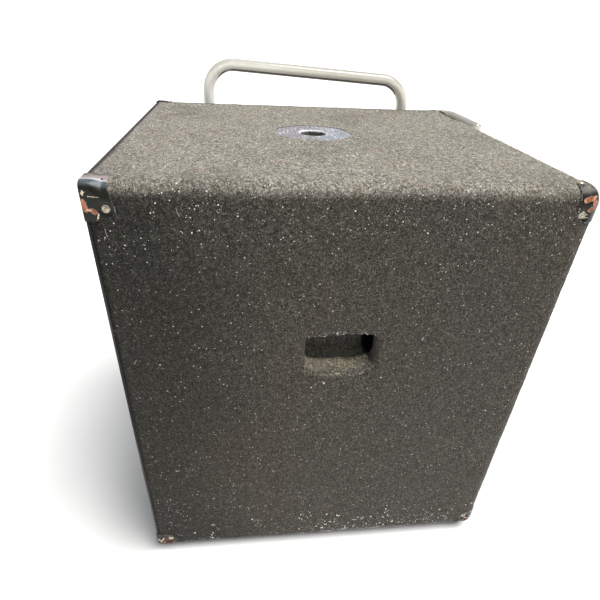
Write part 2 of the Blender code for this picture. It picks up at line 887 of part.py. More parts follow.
def make_crossover():
    low = INNER_LOW + GAP
    half = BOARD_SIZE / 2
    top = low + BOARD_SIZE.z
    box(
        "crossover_board",
        (-half.x, BOARD_Y - half.y, low),
        (half.x, BOARD_Y + half.y, top),
        circuit_board(),
    )
    coil = [
        (COIL_OUTER, COIL_HEIGHT),
        (COIL_OUTER, GAP),
        (COIL_INNER, GAP),
        (COIL_INNER, COIL_HEIGHT),
    ]
    turned("inductor", coil, copper(), (COIL_PLACE.x, BOARD_Y + COIL_PLACE.y, top), UP, 24)
    place = (
        CAPACITOR_PLACE.x,
        BOARD_Y + CAPACITOR_PLACE.y,
        top + CAPACITOR_RADIUS + GAP,
    )
    cylinder(
        "capacitor",
        CAPACITOR_RADIUS,
        CAPACITOR_LENGTH,
        place,
        FORWARD,
        SMALL_STEPS,
        capacitor_blue(),
    )
    return top


def make_leads(dish_floor, board_top):
    """The two internal leads: plate to crossover, and crossover to driver."""
    level = board_top + LEAD_RADIUS + 0.001
    start = dish_floor - SOCKET_DEPTH - 0.002
    tube(
        "input_lead",
        smooth_path(
            [
                (SOCKET_X, start, PLATE_Z),
                (SOCKET_X, start - 0.020, PLATE_Z - 0.012),
                (0.020, 0.165, 0.280),
                (0.012, 0.125, 0.180),
                (0.010, 0.100, 0.090),
                (0.004, 0.078, 0.042),
                (0.006, BOARD_Y + 0.045, level),
            ]
        ),
        LEAD_RADIUS,
        red_jacket(),
    )
    terminal = BAFFLE_FRONT - BASKET_SHELF + GAP + TERMINAL_THICKNESS + 0.001 + LEAD_RADIUS
    tube(
        "driver_lead",
        smooth_path(
            [
                (0.0, terminal, DRIVER_Z - 0.102),
                (0.0, terminal + 0.003, DRIVER_Z - 0.125),
                (-0.004, terminal + 0.016, 0.200),
                (-0.008, terminal + 0.046, 0.120),
                (-0.006, -0.068, 0.060),
                (-0.002, -0.046, 0.034),
                (0.004, BOARD_Y - 0.040, level),
            ]
        ),
        LEAD_RADIUS,
        red_jacket(),
    )


def make_wadding():
    """A pad of damping wadding on the rear panel, under the connector plate."""
    half, face = WADDING_SIZE.x / 2, INNER_REAR - 0.001
    high = WADDING_LOW + WADDING_SIZE.z
    box(
        "wadding",
        (-half, face - WADDING_SIZE.y, WADDING_LOW),
        (half, face, high),
        white_wadding(),
    )


# ---------------------------------------------------------------- handle
def make_handle():
    handle = bent_path(
        [
            (HANDLE_X, HANDLE_FRONT_Y, HANDLE_FOOT_Z),
            (HANDLE_X, HANDLE_FRONT_Y, HANDLE_FRONT_Z),
            (HANDLE_X, HANDLE_REAR_Y, HANDLE_REAR_Z),
            (HANDLE_X, HANDLE_REAR_Y, HANDLE_FOOT_Z),
        ],
        HANDLE_BEND,
        steps=10,
    )
    tube("handle_tube", handle, TUBE_RADIUS, cream_paint(), resolution=4)
    start = HANDLE_REAR_Y + TUBE_RADIUS + 2 * GAP
    stay = bent_path(
        [
            (HANDLE_X, start, STAY_START_Z),
            (HANDLE_X, STAY_Y, STAY_Z),
            (STAY_END_X, STAY_Y, STAY_Z),
        ],
        STAY_BEND,
    )
    tube("handle_stay", stay, TUBE_RADIUS, cream_paint(), resolution=4)
    place = (STAY_END_X, STAY_Y, STAY_Z)
    turned("stay_cap", CAP_PROFILE, cream_paint(), place, TO_RIGHT, steps=SMALL_STEPS)


def make_clamps():
    """Clamps that hold the tube to the side and to the rear, each one block around it."""
    half, bore = CLAMP_WIDTH / 2, TUBE_RADIUS + 2 * GAP
    for word, y in (("front", HANDLE_FRONT_Y), ("rear", HANDLE_REAR_Y)):
        middle = (HANDLE_X, y, sum(CLAMP_HEIGHTS) / 2)
        hole = cylinder(f"clamp_bore_{word}", bore, 8 * COVER, middle, UP, 24)
        for level, z in zip(("lower", "upper"), CLAMP_HEIGHTS):
            clamp = box(
                f"handle_clamp_{word}_{level}",
                (-HALF_W - HANDLE_REACH, y - CLAMP_REACH, z - half),
                (-HALF_W - GAP, y + CLAMP_REACH, z + half),
                black_steel(),
            )
            cut(clamp, hole)
    clamp = box(
        "stay_clamp",
        (STAY_CLAMP_X - half, HALF_D + GAP, STAY_Z - STAY_CLAMP_LOW),
        (STAY_CLAMP_X + half, HALF_D + STAY_REACH, STAY_Z + STAY_CLAMP_HIGH),
        cream_paint(),
    )
    place = (STAY_CLAMP_X, STAY_Y, STAY_Z)
    cut(clamp, cylinder("stay_bore", bore, 2 * COVER, place, TO_RIGHT, 24))


clear_scene()
parts = new_collection("subwoofer")
cutters = new_collection("cutters")
cabinet = bpy.data.objects.new("cabinet_frame", None)
parts.objects.link(cabinet)
middle = (HANDLE_REACH - CORNER_PROUD) / 2, (CORNER_FOLD - GRILLE_EDGE - STAY_REACH) / 2
cabinet.location = (*middle, FOOT_HEIGHT)
driver_axis = bpy.data.objects.new("driver_axis", None)
parts.objects.link(driver_axis)
driver_axis.parent = cabinet
driver_axis.location = (0, BAFFLE_FRONT, DRIVER_Z)
rear_cutter_object = rear_cutter()

make_carpet()
make_panels()
baffle_part = make_baffle()
make_hand_cups()
make_pole_socket()
make_feet()
make_corners()
make_grille()
make_foam()
make_ports()
basket_part = make_basket()
make_soft_suspension()
make_moving_parts()
make_motor()
make_terminal_strip()
make_driver_bolts(basket_part, baffle_part)
floor_of_dish = make_connector_plate()
top_of_board = make_crossover()
make_leads(floor_of_dish, top_of_board)
make_wadding()
make_handle()
make_clamps()
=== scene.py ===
"""The looks of a carpet-covered stage subwoofer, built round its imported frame.

Metres, +Z up. The grille faces -Y, one plain hand slot is in each X side, and the tube handle is on
the -X side and round the rear. Every place is worked out from the frame's own boxes.
"""

import json
import math
import random

import bmesh
import bpy
from mathutils import Matrix, Vector, noise


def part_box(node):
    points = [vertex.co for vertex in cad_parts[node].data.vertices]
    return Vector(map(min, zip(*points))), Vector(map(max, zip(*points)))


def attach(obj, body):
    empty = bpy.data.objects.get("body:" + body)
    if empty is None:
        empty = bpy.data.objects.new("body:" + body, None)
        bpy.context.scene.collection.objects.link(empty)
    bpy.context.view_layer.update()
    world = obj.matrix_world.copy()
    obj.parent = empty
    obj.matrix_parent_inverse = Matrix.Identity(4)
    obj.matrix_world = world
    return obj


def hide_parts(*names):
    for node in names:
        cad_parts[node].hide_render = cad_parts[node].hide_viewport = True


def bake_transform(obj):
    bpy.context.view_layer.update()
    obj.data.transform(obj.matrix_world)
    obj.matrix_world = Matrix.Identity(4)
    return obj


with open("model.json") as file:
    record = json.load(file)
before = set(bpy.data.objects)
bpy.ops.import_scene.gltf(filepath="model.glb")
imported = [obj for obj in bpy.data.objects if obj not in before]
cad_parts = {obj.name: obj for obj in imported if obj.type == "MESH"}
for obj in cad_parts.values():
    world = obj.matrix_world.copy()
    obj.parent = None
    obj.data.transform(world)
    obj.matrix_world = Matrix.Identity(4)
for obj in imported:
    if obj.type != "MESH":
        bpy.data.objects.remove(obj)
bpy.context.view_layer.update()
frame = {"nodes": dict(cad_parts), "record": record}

X, Y, Z = range(3)
NOISE_SEED = 41
noise.seed_set(NOISE_SEED)  # without it noise_vector starts from the clock, and every run differs

# ---------------------------------------------------------------- places, from the frame
LOW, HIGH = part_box("carpet_covering")
FRONT = LOW.y  # front edge of the carpet and the panels
GRILLE_LOW, GRILLE_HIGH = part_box("grille")
EDGE = 0.020  # radius of the cabinet's rounded edges
CENTRE_X = (LOW.x + HIGH.x) / 2
RIGHT, LEFT, FORE, BACK, UP, DOWN = (
    Vector((1, 0, 0)),
    Vector((-1, 0, 0)),
    Vector((0, -1, 0)),
    Vector((0, 1, 0)),
    Vector((0, 0, 1)),
    Vector((0, 0, -1)),
)


def within(value, least=0.0, most=1.0):
    return min(most, max(least, value))


def middle(node):
    low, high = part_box(node)
    return (low + high) / 2


SLOT = middle("hand_cup_right")
POLE_LOW, POLE_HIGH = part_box("pole_socket")
POLE = Vector(((POLE_LOW.x + POLE_HIGH.x) / 2, (POLE_LOW.y + POLE_HIGH.y) / 2, POLE_HIGH.z))
POLE_PLATE = (POLE_HIGH.x - POLE_LOW.x) / 2
POLE_BORE = 0.01825
PLATE_LOW, PLATE_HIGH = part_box("connector_plate")
PLATE = (PLATE_LOW + PLATE_HIGH) / 2
TUBE_LOW, TUBE_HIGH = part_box("handle_tube")
TUBE = (TUBE_HIGH.x - TUBE_LOW.x) / 2
TUBE_X = (TUBE_LOW.x + TUBE_HIGH.x) / 2
CELL = 0.0042  # the carpet's mesh
PROUD = 0.0015  # corner protectors stand this far out of the carpet
LEGS = Vector((0.028, 0.030, 0.038))  # of a corner protector, from the sharp corner


# ---------------------------------------------------------------- material nodes
class Finish:
    """A Principled material, with short ways to add the nodes that drive it."""

    def __init__(self, name, **sockets):
        self.material = bpy.data.materials.new(name)
        self.material.use_nodes = True
        self.tree = self.material.node_tree
        self.surface = self.tree.nodes["Principled BSDF"]
        for socket, value in sockets.items():
            self.surface.inputs[socket.replace("_", " ")].default_value = value
        self.place = self.add("TexCoord").outputs["Object"]
        self.normal = None

    def add(self, kind, inputs=None, **settings):
        node = self.tree.nodes.new("ShaderNode" + kind)
        for key, value in settings.items():
            setattr(node, key, value)
        for key, value in (inputs or {}).items():
            self.join(value, node.inputs[key])
        return node

    def join(self, value, socket):
        if isinstance(value, bpy.types.NodeSocket):
            self.tree.links.new(value, socket)
        else:
            socket.default_value = value

    def stretched(self, x, y, z):
        return self.add("VectorMath", {0: self.place, 1: (x, y, z)}, operation="MULTIPLY").outputs[0]

    def grain(self, scale, detail=3.0, rough=0.55, twist=0.0, at=None):
        inputs = {
            "Vector": at or self.place,
            "Scale": scale,
            "Detail": detail,
            "Roughness": rough,
            "Distortion": twist,
        }
        return self.add("TexNoise", inputs).outputs[0]

    def calc(self, operation, first, second=0.0, clamp=False):
        node = self.add("Math", {0: first, 1: second}, operation=operation, use_clamp=clamp)
        return node.outputs[0]

    def times(self, first, second):
        return self.calc("MULTIPLY", first, second)

    def plus(self, first, second):
        return self.calc("ADD", first, second)

    def minus(self, first, second):
        return self.calc("SUBTRACT", first, second)

    def most(self, first, second):
        return self.calc("MAXIMUM", first, second)

    def attribute(self, name):
        return self.add("Attribute", attribute_name=name).outputs["Fac"]

    def world(self, axis):
        """The place along X, Y or Z."""
        return self.add("SeparateXYZ", {0: self.add("NewGeometry").outputs["Position"]}).outputs[axis]

    def fade(self, value, start, end):
        """0 at start, 1 at end, smooth between."""
        inputs = {"Value": value, "From Min": start, "From Max": end}
        return self.add("MapRange", inputs, interpolation_type="SMOOTHSTEP").outputs[0]

    def ramp(self, value, *stops):
        node = self.add("ValToRGB", {"Fac": value})
        while len(node.color_ramp.elements) < len(stops):
            node.color_ramp.elements.new(0.5)
        for element, (position, color) in zip(node.color_ramp.elements, stops):
            element.position = position
            element.color = (*color, 1.0)
        return node.outputs[0]

    def mix(self, factor, first, second, mode="MIX"):
        node = self.add("Mix", data_type="RGBA", blend_type=mode)
        for socket, value in ((0, factor), (6, first), (7, second)):
            if isinstance(value, tuple) and len(value) == 3:
                value = (*value, 1.0)
            self.join(value, node.inputs[socket])
        return node.outputs[2]

    def spots(self, scale, size, share, at=None):
        """A mask of scattered dots: size is their radius in cells, share how many cells hold one."""
        cells = self.add("TexVoronoi", {"Vector": at or self.place, "Scale": scale})
        shade = self.add("SeparateColor", {0: cells.outputs["Color"]})
        radius = self.times(self.plus(shade.outputs[0], 0.35), size)
        inside = self.minus(radius, cells.outputs["Distance"])
        dot = self.fade(inside, 0.0, size * 0.35)
        chosen = self.calc("GREATER_THAN", shade.outputs[1], self.minus(1.0, share))
        return self.times(dot, chosen)

    def facing_up(self, start, end):
        normal = self.add("SeparateXYZ", {0: self.add("NewGeometry").outputs["Normal"]})
        return self.fade(normal.outputs[2], start, end)

    def bump(self, height, distance, strength=1.0):
        inputs = {"Height": height, "Distance": distance, "Strength": strength}
        if self.normal:
            inputs["Normal"] = self.normal
        self.normal = self.add("Bump", inputs).outputs[0]

    def done(self, color=None, roughness=None, metallic=None):
        for socket, value in (
            ("Base Color", color),
            ("Roughness", roughness),
            ("Metallic", metallic),
            ("Normal", self.normal),
        ):
            if value is not None:
                self.tree.links.new(value, self.surface.inputs[socket])
        return self.material


# ---------------------------------------------------------------- materials
DUST = (0.31, 0.292, 0.258)
LINT = (0.80, 0.78, 0.74)


def carpet_finish():
    """Needle-punched grey carpet: curled fibres, clumps, white lint, dust where it faces up that also
    stands for painted light on the top, painted light on the slots' ledges, and painted shade towards the
    front and along some edges.
    """
    f = Finish("carpet", Roughness=0.95, Specular_IOR_Level=0.10, Sheen_Weight=0.08)
    ledge_dust_and_light = f.attribute("ledge_dust_and_light")
    shade = f.attribute("shade")
    curls = f.grain(640, 4, 0.66, 1.3)
    fluff = f.grain(1500, 2, 0.6)
    clumps = f.grain(170, 4, 0.62, 1.0)
    drift = f.grain(6.5, 3, 0.55)
    tufts = f.grain(330, 3, 0.6, 0.8)
    tone = f.plus(f.times(curls, 0.72), f.times(fluff, 0.28))
    tone = f.plus(tone, f.times(f.minus(clumps, 0.5), 0.18))
    coarse = f.plus(f.times(tone, 0.68), f.times(tufts, 0.32))
    pile = f.ramp(
        tone,
        (0.39, (0.006, 0.0051, 0.0039)),
        (0.48, (0.029, 0.0260, 0.0206)),
        (0.55, (0.074, 0.067, 0.0535)),
        (0.64, (0.25, 0.230, 0.188)),
    )
    tint = f.grain(3.2, 2, 0.5, at=f.stretched(1.0, 1.3, 0.8))
    pile = f.mix(f.fade(tint, 0.55, 0.72), pile, (1.06, 0.98, 0.90), "MULTIPLY")
    pile = f.mix(f.fade(tint, 0.46, 0.30), pile, (0.93, 0.99, 1.03), "MULTIPLY")
    # painted shade: the pile darker towards the front
    pile = f.mix(shade, pile, (0.45, 0.46, 0.47), "MULTIPLY")
    niche = f.attribute("niche")
    # paler where it faces up: dust, and painted light on the top, which is brighter than the sides; none of
    # it inside the slots
    dust_and_painted_lighting = f.times(f.facing_up(0.18, 0.92), f.fade(drift, 0.0, 0.55))
    dust_and_painted_lighting = f.times(dust_and_painted_lighting, f.minus(1.0, niche))
    # the slots' bottom ledges take the same dust, with painted light
    dust_and_painted_lighting = f.most(f.times(dust_and_painted_lighting, 0.90), f.times(ledge_dust_and_light, 0.95))
    grit = f.ramp(
        coarse,
        (0.40, (0.09, 0.085, 0.075)),
        (0.49, (0.58, 0.575, 0.55)),
        (0.58, (1.80, 1.80, 1.74)),
    )
    dusty = f.mix(1.0, grit, DUST, "MULTIPLY")
    # painted light on the slots' bottom ledges, brighter the deeper in
    dusty = f.mix(ledge_dust_and_light, dusty, (1.42, 1.36, 1.16), "MULTIPLY")
    blush = f.grain(38, 3, 0.55)
    dusty = f.mix(f.fade(blush, 0.56, 0.68), dusty, (1.06, 0.95, 0.94), "MULTIPLY")
    color = f.mix(dust_and_painted_lighting, pile, dusty)
    lint = f.most(f.spots(90, 0.080, 0.34), f.spots(230, 0.17, 0.12))
    color = f.mix(f.times(lint, 0.72), color, LINT)
    painted_edge_shade = f.attribute("painted_edge_shade")
    # painted shade along the top's far edge, in the front fold and as the stay's shadow
    color = f.mix(painted_edge_shade, color, (0.10, 0.10, 0.10), "MULTIPLY")
    f.bump(clumps, 0.0010, 0.6)
    f.bump(curls, 0.0010, 1.0)
    f.bump(fluff, 0.0004, 0.6)
    return f.done(color)


def lint_finish():
    f = Finish("lint", Roughness=0.9, Sheen_Weight=0.2)
    patchy = f.grain(220, 3, 0.6)
    return f.done(f.ramp(patchy, (0.35, (0.50, 0.47, 0.42)), (0.62, (0.92, 0.90, 0.86))))


def fuzz_finish():
    f = Finish("loose_fibres", Roughness=0.95, Sheen_Weight=0.2)
    strand = f.grain(60, 2, 0.5)
    # paler where they face up: dust, and painted light on the top, as on the carpet
    pale = f.facing_up(0.1, 0.8)
    base = f.ramp(strand, (0.35, (0.03, 0.027, 0.023)), (0.65, (0.13, 0.12, 0.105)))
    return f.done(f.mix(f.times(pale, 0.5), base, DUST))


def protector_finish():
    """Black gloss paint on steel: rubbed over the edge, where a painted highlight and reflection band runs
    round the bend; rusty where it is gone, scratched.
    """
    f = Finish("protector_steel", Coat_Weight=0.07, Coat_Roughness=0.2, Specular_IOR_Level=0.17)
    rim = f.attribute("rim")
    worn = f.attribute("worn")
    mark = f.attribute("mark")
    along = f.attribute("along")
    cloud = f.grain(170, 5, 0.62, 0.6)
    ragged = f.grain(430, 4, 0.62, 0.4)
    broad = f.grain(38, 3, 0.55)
    fine = f.grain(900, 3, 0.6)
    chipped = f.plus(f.times(rim, 0.56), f.times(ragged, 0.70))
    bare = f.fade(chipped, 0.86, 0.94)
    rough_edge = f.times(f.minus(ragged, 0.5), 0.8)
    patch = f.plus(worn, rough_edge)
    rust = f.fade(patch, 0.50, 0.56)
    halo = f.calc("SUBTRACT", f.fade(patch, 0.44, 0.49), rust, clamp=True)
    marked = f.fade(f.plus(mark, f.times(rough_edge, 0.7)), 0.46, 0.58)
    paint = f.mix(broad, (0.004, 0.004, 0.0035), (0.013, 0.013, 0.010))
    dusty = f.times(f.facing_up(0.55, 0.99), f.fade(cloud, 0.34, 0.66))
    # over the bend: dust rubbed off, and the place of a painted highlight band
    rubbed_and_highlit = f.times(f.fade(along, 0.30, 0.50), f.minus(1.0, f.fade(along, 1.05, 1.25)))
    dusty = f.times(dusty, f.minus(1.0, f.times(rubbed_and_highlit, 0.8)))
    paint = f.mix(f.times(dusty, 0.80), paint, (0.27, 0.25, 0.22))
    # painted highlight and reflection colours, by the place round the bend
    painted_highlight_band = f.ramp(
        f.plus(along, f.times(f.minus(broad, 0.5), 0.25)),
        (0.30, (0.012, 0.012, 0.012)),
        (0.50, (0.052, 0.060, 0.066)),
        (0.70, (0.090, 0.104, 0.128)),
        (0.79, (0.50, 0.50, 0.47)),
        (0.86, (0.30, 0.26, 0.30)),
        (1.0, (0.28, 0.22, 0.22)),
    )
    paint = f.mix(f.times(rubbed_and_highlit, f.fade(cloud, 0.22, 0.44)), paint, painted_highlight_band)
    iron = f.mix(fine, (0.34, 0.31, 0.28), (0.78, 0.76, 0.74))
    oxide = f.ramp(
        cloud,
        (0.36, (0.10, 0.036, 0.020)),
        (0.52, (0.34, 0.130, 0.070)),
        (0.66, (0.52, 0.24, 0.14)),
    )
    low_down = f.fade(f.world(Z), 0.14, 0.10)
    oxide = f.mix(low_down, oxide, (0.20, 0.19, 0.18), "MULTIPLY")
    color = f.mix(bare, paint, iron)
    color = f.mix(f.times(halo, 0.55), color, (0.60, 0.47, 0.34))
    color = f.mix(rust, color, oxide)
    color = f.mix(marked, color, f.mix(cloud, (0.36, 0.24, 0.17), (0.74, 0.64, 0.48)))
    spent = f.most(f.most(rust, marked), dusty)
    rough = f.mix(spent, f.mix(broad, (0.20,) * 3, (0.38,) * 3), (0.85,) * 3)
    f.bump(broad, 0.0010, 0.35)
    f.bump(f.plus(rust, bare), -0.00025, 0.8)
    f.bump(fine, 0.0001, 0.4)
    metal = f.most(f.times(bare, 0.8), f.times(rubbed_and_highlit, 0.12))
    return f.done(color, rough, f.times(metal, f.minus(1.0, spent)))


def grille_finish():
    f = Finish("grille_steel", Specular_IOR_Level=0.16)
    grit = f.grain(900, 3, 0.6)
    wear = f.grain(22, 5, 0.62)
    dust = f.grain(5, 3, 0.5)
    color = f.mix(f.fade(wear, 0.62, 0.72), (0.012, 0.012, 0.013), (0.055, 0.050, 0.045))
    color = f.mix(f.times(f.fade(dust, 0.4, 0.7), 0.22), color, DUST)
    f.bump(grit, 0.00012, 0.6)
    return f.done(color, f.mix(grit, (0.42,) * 3, (0.62,) * 3))


def plate_finish():
    """Worn zinc: lilac to bluish grey, whitish round the bore from wear and along its outer edge as a
    painted highlight, with turning marks and scuffs; painted shade darkens the bore.
    """
    f = Finish("plate_steel")
    rim = f.attribute("rim")
    deep = f.attribute("deep")
    cloud = f.grain(70, 5, 0.62, 0.5)
    blue = f.grain(14, 3, 0.5)
    fine = f.grain(900, 3, 0.6)
    scuff = f.grain(60, 4, 0.6, at=f.stretched(1.0, 7.0, 1.0))
    base = f.mix(f.fade(blue, 0.42, 0.58), (0.265, 0.245, 0.270), (0.285, 0.310, 0.360))
    base = f.mix(f.times(f.fade(scuff, 0.52, 0.62), 0.8), base, (0.66, 0.66, 0.69))
    # whitish where worn round the bore, and a painted highlight along the outer edge
    spent = f.fade(f.plus(f.times(rim, 0.55), f.times(cloud, 0.70)), 0.70, 0.84)
    base = f.mix(spent, base, (0.66, 0.65, 0.64))
    dirt = f.fade(cloud, 0.58, 0.70)
    base = f.mix(f.times(dirt, 0.6), base, (0.16, 0.14, 0.12))
    # painted shade: nearly black and not metallic inside the bore
    base = f.mix(deep, base, f.mix(cloud, (0.008, 0.008, 0.004), (0.050, 0.046, 0.026)))
    rough = f.mix(f.most(dirt, f.fade(fine, 0.3, 0.7)), (0.38,) * 3, (0.65,) * 3)
    f.bump(fine, 0.00008, 0.5)
    f.bump(scuff, 0.00015, 0.3)
    metal = f.times(f.minus(1.0, spent), 0.45)
    return f.done(base, rough, f.times(metal, f.minus(1.0, deep)))


def screw_finish():
    """Dull zinc screws, mottled with brown."""
    f = Finish("screw_steel", Metallic=0.55)
    cloud = f.grain(420, 4, 0.62)
    fine = f.grain(1300, 3, 0.6)
    color = f.mix(f.fade(cloud, 0.40, 0.62), (0.17, 0.140, 0.105), (0.50, 0.455, 0.375))
    f.bump(fine, 0.00006, 0.5)
    return f.done(color, f.mix(cloud, (0.30,) * 3, (0.55,) * 3))


def cup_finish():
    """The hand cups' dusty plastic, with painted shade: black at their rear ends and darker under the top.
    """
    f = Finish("dusty_plastic_and_shade", Specular_IOR_Level=0.2)
    grit = f.grain(520, 4, 0.62)
    cloud = f.grain(60, 3, 0.55)
    dust = f.mix(f.fade(grit, 0.34, 0.66), (0.12, 0.117, 0.108), (0.78, 0.76, 0.68))
    dust = f.mix(cloud, dust, (0.9, 0.85, 0.78), "MULTIPLY")
    # painted shade, darker under the slot's top
    shaded = f.fade(f.world(Z), SLOT.z - 0.040, SLOT.z - 0.006)
    dust = f.mix(shaded, dust, (0.36, 0.37, 0.39), "MULTIPLY")
    # painted shade: black at the cup's rear end
    rear_end_shade = f.fade(f.world(Y), SLOT.y + 0.046, SLOT.y + 0.053)
    color = f.mix(rear_end_shade, dust, (0.012, 0.012, 0.012))
    f.bump(grit, 0.0002, 0.5)
    return f.done(color, f.mix(cloud, (0.75,) * 3, (0.95,) * 3))


def cream_finish():
    """Cream gloss paint: chipped and specked; painted shade greys it towards the rear, greys the top along
    with dust, and darkens the underside along with grime.
    """
    f = Finish("handle_paint", Coat_Weight=0.3, Coat_Roughness=0.08)
    cloud = f.grain(18, 4, 0.6)
    fine = f.grain(420, 4, 0.6)
    moved = f.add("VectorMath", {0: f.place, 1: (0.003, 0.002, 0.001)}).outputs[0]
    chips = f.spots(52, 0.11, 0.22, at=moved)
    chips = f.times(chips, f.fade(fine, 0.42, 0.52))
    paint = f.mix(f.fade(cloud, 0.35, 0.65), (0.86, 0.845, 0.775), (0.93, 0.92, 0.86))
    # dark underneath: grime, and painted shade on the tube's underside
    under = f.fade(f.minus(1.0, f.facing_up(-1.0, 0.0)), 0.46, 0.66)
    grime_and_painted_shade = f.times(under, f.fade(cloud, 0.10, 0.36))
    paint = f.mix(f.times(grime_and_painted_shade, 0.94), paint, (0.050, 0.032, 0.020))
    # greyer on top: dust, and painted shade on the top
    dust_and_painted_lighting = f.times(f.facing_up(0.10, 0.70), f.fade(cloud, 0.05, 0.38))
    paint = f.mix(f.times(dust_and_painted_lighting, 0.92), paint, (0.37, 0.36, 0.32))
    # painted shade: greyer towards the rear
    rear_painted_shade = f.fade(f.world(Y), TUBE_LOW.y + 0.06, TUBE_LOW.y + 0.24)
    paint = f.mix(rear_painted_shade, paint, (0.80, 0.785, 0.75), "MULTIPLY")
    specks = f.spots(210, 0.14, 0.10)
    paint = f.mix(f.times(specks, 0.5), paint, (0.42, 0.39, 0.33))
    color = f.mix(f.times(chips, 0.85), paint, (0.17, 0.14, 0.11))
    f.bump(cloud, 0.0006, 0.3)
    f.bump(chips, -0.0002, 0.8)
    rough = f.mix(f.most(chips, grime_and_painted_shade), f.mix(cloud, (0.20,) * 3, (0.32,) * 3), (0.75,) * 3)
    return f.done(color, rough)


def speckled(name, dark, light, scale, rough_low, rough_high, metallic=0.0, grit=0.0001, **sockets):
    """A plain finish with its own fine grain, broad mottling and a little dust on top."""
    f = Finish(name, Metallic=metallic, **sockets)
    fine = f.grain(scale, 4, 0.6)
    broad = f.grain(scale / 24, 3, 0.55)
    both = f.plus(f.times(fine, 0.55), f.times(broad, 0.45))
    color = f.mix(f.fade(both, 0.34, 0.66), dark, light)
    f.bump(fine, grit, 0.6)
    return f.done(color, f.mix(broad, (rough_low,) * 3, (rough_high,) * 3))


def plywood_finish():
    """Birch ply with upright grain, painted black near the grille."""
    f = Finish("plywood", Specular_IOR_Level=0.3)
    rings = f.grain(34, 5, 0.62, 0.9, at=f.stretched(1.0, 1.0, 0.09))
    pores = f.grain(700, 3, 0.6, at=f.stretched(1.0, 1.0, 0.06))
    color = f.ramp(
        rings,
        (0.34, (0.36, 0.23, 0.12)),
        (0.5, (0.52, 0.37, 0.22)),
        (0.66, (0.63, 0.48, 0.31)),
    )
    color = f.mix(f.fade(pores, 0.60, 0.72), color, (0.28, 0.17, 0.08))
    painted = f.fade(f.world(Y), FRONT + 0.045, FRONT + 0.040)
    color = f.mix(painted, color, f.mix(pores, (0.006,) * 3, (0.016,) * 3))
    f.bump(pores, 0.0002, 0.4)
    return f.done(color, f.mix(rings, (0.55,) * 3, (0.75,) * 3))


def copper_finish():
    """Enamelled copper wire laid in turns."""
    f = Finish("copper", Metallic=1.0)
    turns = f.add(
        "TexWave",
        {"Vector": f.place, "Scale": 190.0, "Distortion": 0.4, "Detail": 1.0},
        bands_direction="Z",
    ).outputs[1]
    cloud = f.grain(60, 3, 0.5)
    color = f.mix(cloud, (0.42, 0.15, 0.06), (0.78, 0.36, 0.18))
    f.bump(turns, 0.0006, 0.8)
    return f.done(color, f.mix(cloud, (0.25,) * 3, (0.40,) * 3))


def cloth_finish(name, dark, light, pitch):
    """A woven or fibrous cloth, by two crossed waves."""
    f = Finish(name, Roughness=0.9, Sheen_Weight=0.15)
    warp = f.add("TexWave", {"Vector": f.place, "Scale": pitch, "Distortion": 1.2}, bands_direction="X")
    weft = f.add("TexWave", {"Vector": f.place, "Scale": pitch, "Distortion": 1.2}, bands_direction="Z")
    weave = f.most(warp.outputs[1], weft.outputs[1])
    cloud = f.grain(80, 4, 0.6)
    color = f.mix(f.times(weave, cloud), dark, light)
    f.bump(weave, 0.0003, 0.6)
    f.bump(cloud, 0.0008, 0.4)
    return f.done(color)


def foam_finish(name, dark, light, scale):
    """Open cells: pits darkened with painted shade between pale struts."""
    f = Finish(name, Roughness=1.0, Specular_IOR_Level=0.1)
    cells = f.add("TexVoronoi", {"Vector": f.place, "Scale": scale}).outputs["Distance"]
    cloud = f.grain(scale / 30, 4, 0.6)
    color = f.mix(f.times(f.fade(cells, 0.1, 0.8), cloud), dark, light)
    f.bump(cells, 0.0012, 0.8)
    f.bump(cloud, 0.002, 0.4)
    return f.done(color)


# finish: darkest and palest colour, scale of the grain, least and most roughness, and what else it has
PLAIN = {
    "painted_board": ((0.010,) * 3, (0.024, 0.023, 0.022), 420, 0.55, 0.8, {"grit": 0.0004}),
    "clamp_steel": ((0.010,) * 3, (0.050, 0.047, 0.043), 300, 0.3, 0.6, {"Coat_Weight": 0.2}),
    "black_plastic": ((0.012,) * 3, (0.026,) * 3, 1100, 0.45, 0.62, {"grit": 0.0002}),
    "rubber": ((0.010,) * 3, (0.030, 0.029, 0.028), 500, 0.75, 0.95, {}),
    "aluminium": ((0.55,) * 3, (0.80,) * 3, 600, 0.3, 0.45, {"metallic": 1.0}),
    "motor_steel": ((0.36, 0.36, 0.35), (0.62, 0.61, 0.58), 500, 0.3, 0.5, {"metallic": 0.9}),
    "ferrite": ((0.030,) * 3, (0.075, 0.074, 0.078), 700, 0.7, 0.9, {"grit": 0.0003}),
    "board": ((0.18, 0.11, 0.04), (0.32, 0.22, 0.10), 400, 0.45, 0.6, {}),
    "capacitor": ((0.03, 0.09, 0.26), (0.06, 0.15, 0.36), 200, 0.25, 0.4, {"Coat_Weight": 0.4}),
    "lead": ((0.24, 0.010, 0.010), (0.42, 0.03, 0.03), 300, 0.4, 0.55, {}),
}


def make_finishes():
    return {
        "carpet": carpet_finish(),
        "lint": lint_finish(),
        "fuzz": fuzz_finish(),
        "plywood": plywood_finish(),
        "protector_steel": protector_finish(),
        "grille_steel": grille_finish(),
        "plate_steel": plate_finish(),
        "screw_steel": screw_finish(),
        "cup_dust_and_shade": cup_finish(),
        "handle_paint": cream_finish(),
        "foam": foam_finish("foam", (0.004,) * 3, (0.030, 0.029, 0.028), 900),
        "cone_paper": cloth_finish("cone_paper", (0.012,) * 3, (0.050, 0.048, 0.046), 900),
        "spider_cloth": cloth_finish("spider_cloth", (0.28, 0.16, 0.05), (0.60, 0.40, 0.18), 1400),
        "copper": copper_finish(),
        "wadding": foam_finish("wadding", (0.46, 0.45, 0.42), (0.86, 0.85, 0.80), 420),
        **{name: speckled(name, *numbers, **extra) for name, (*numbers, extra) in PLAIN.items()},
    }


FINISHES = make_finishes()


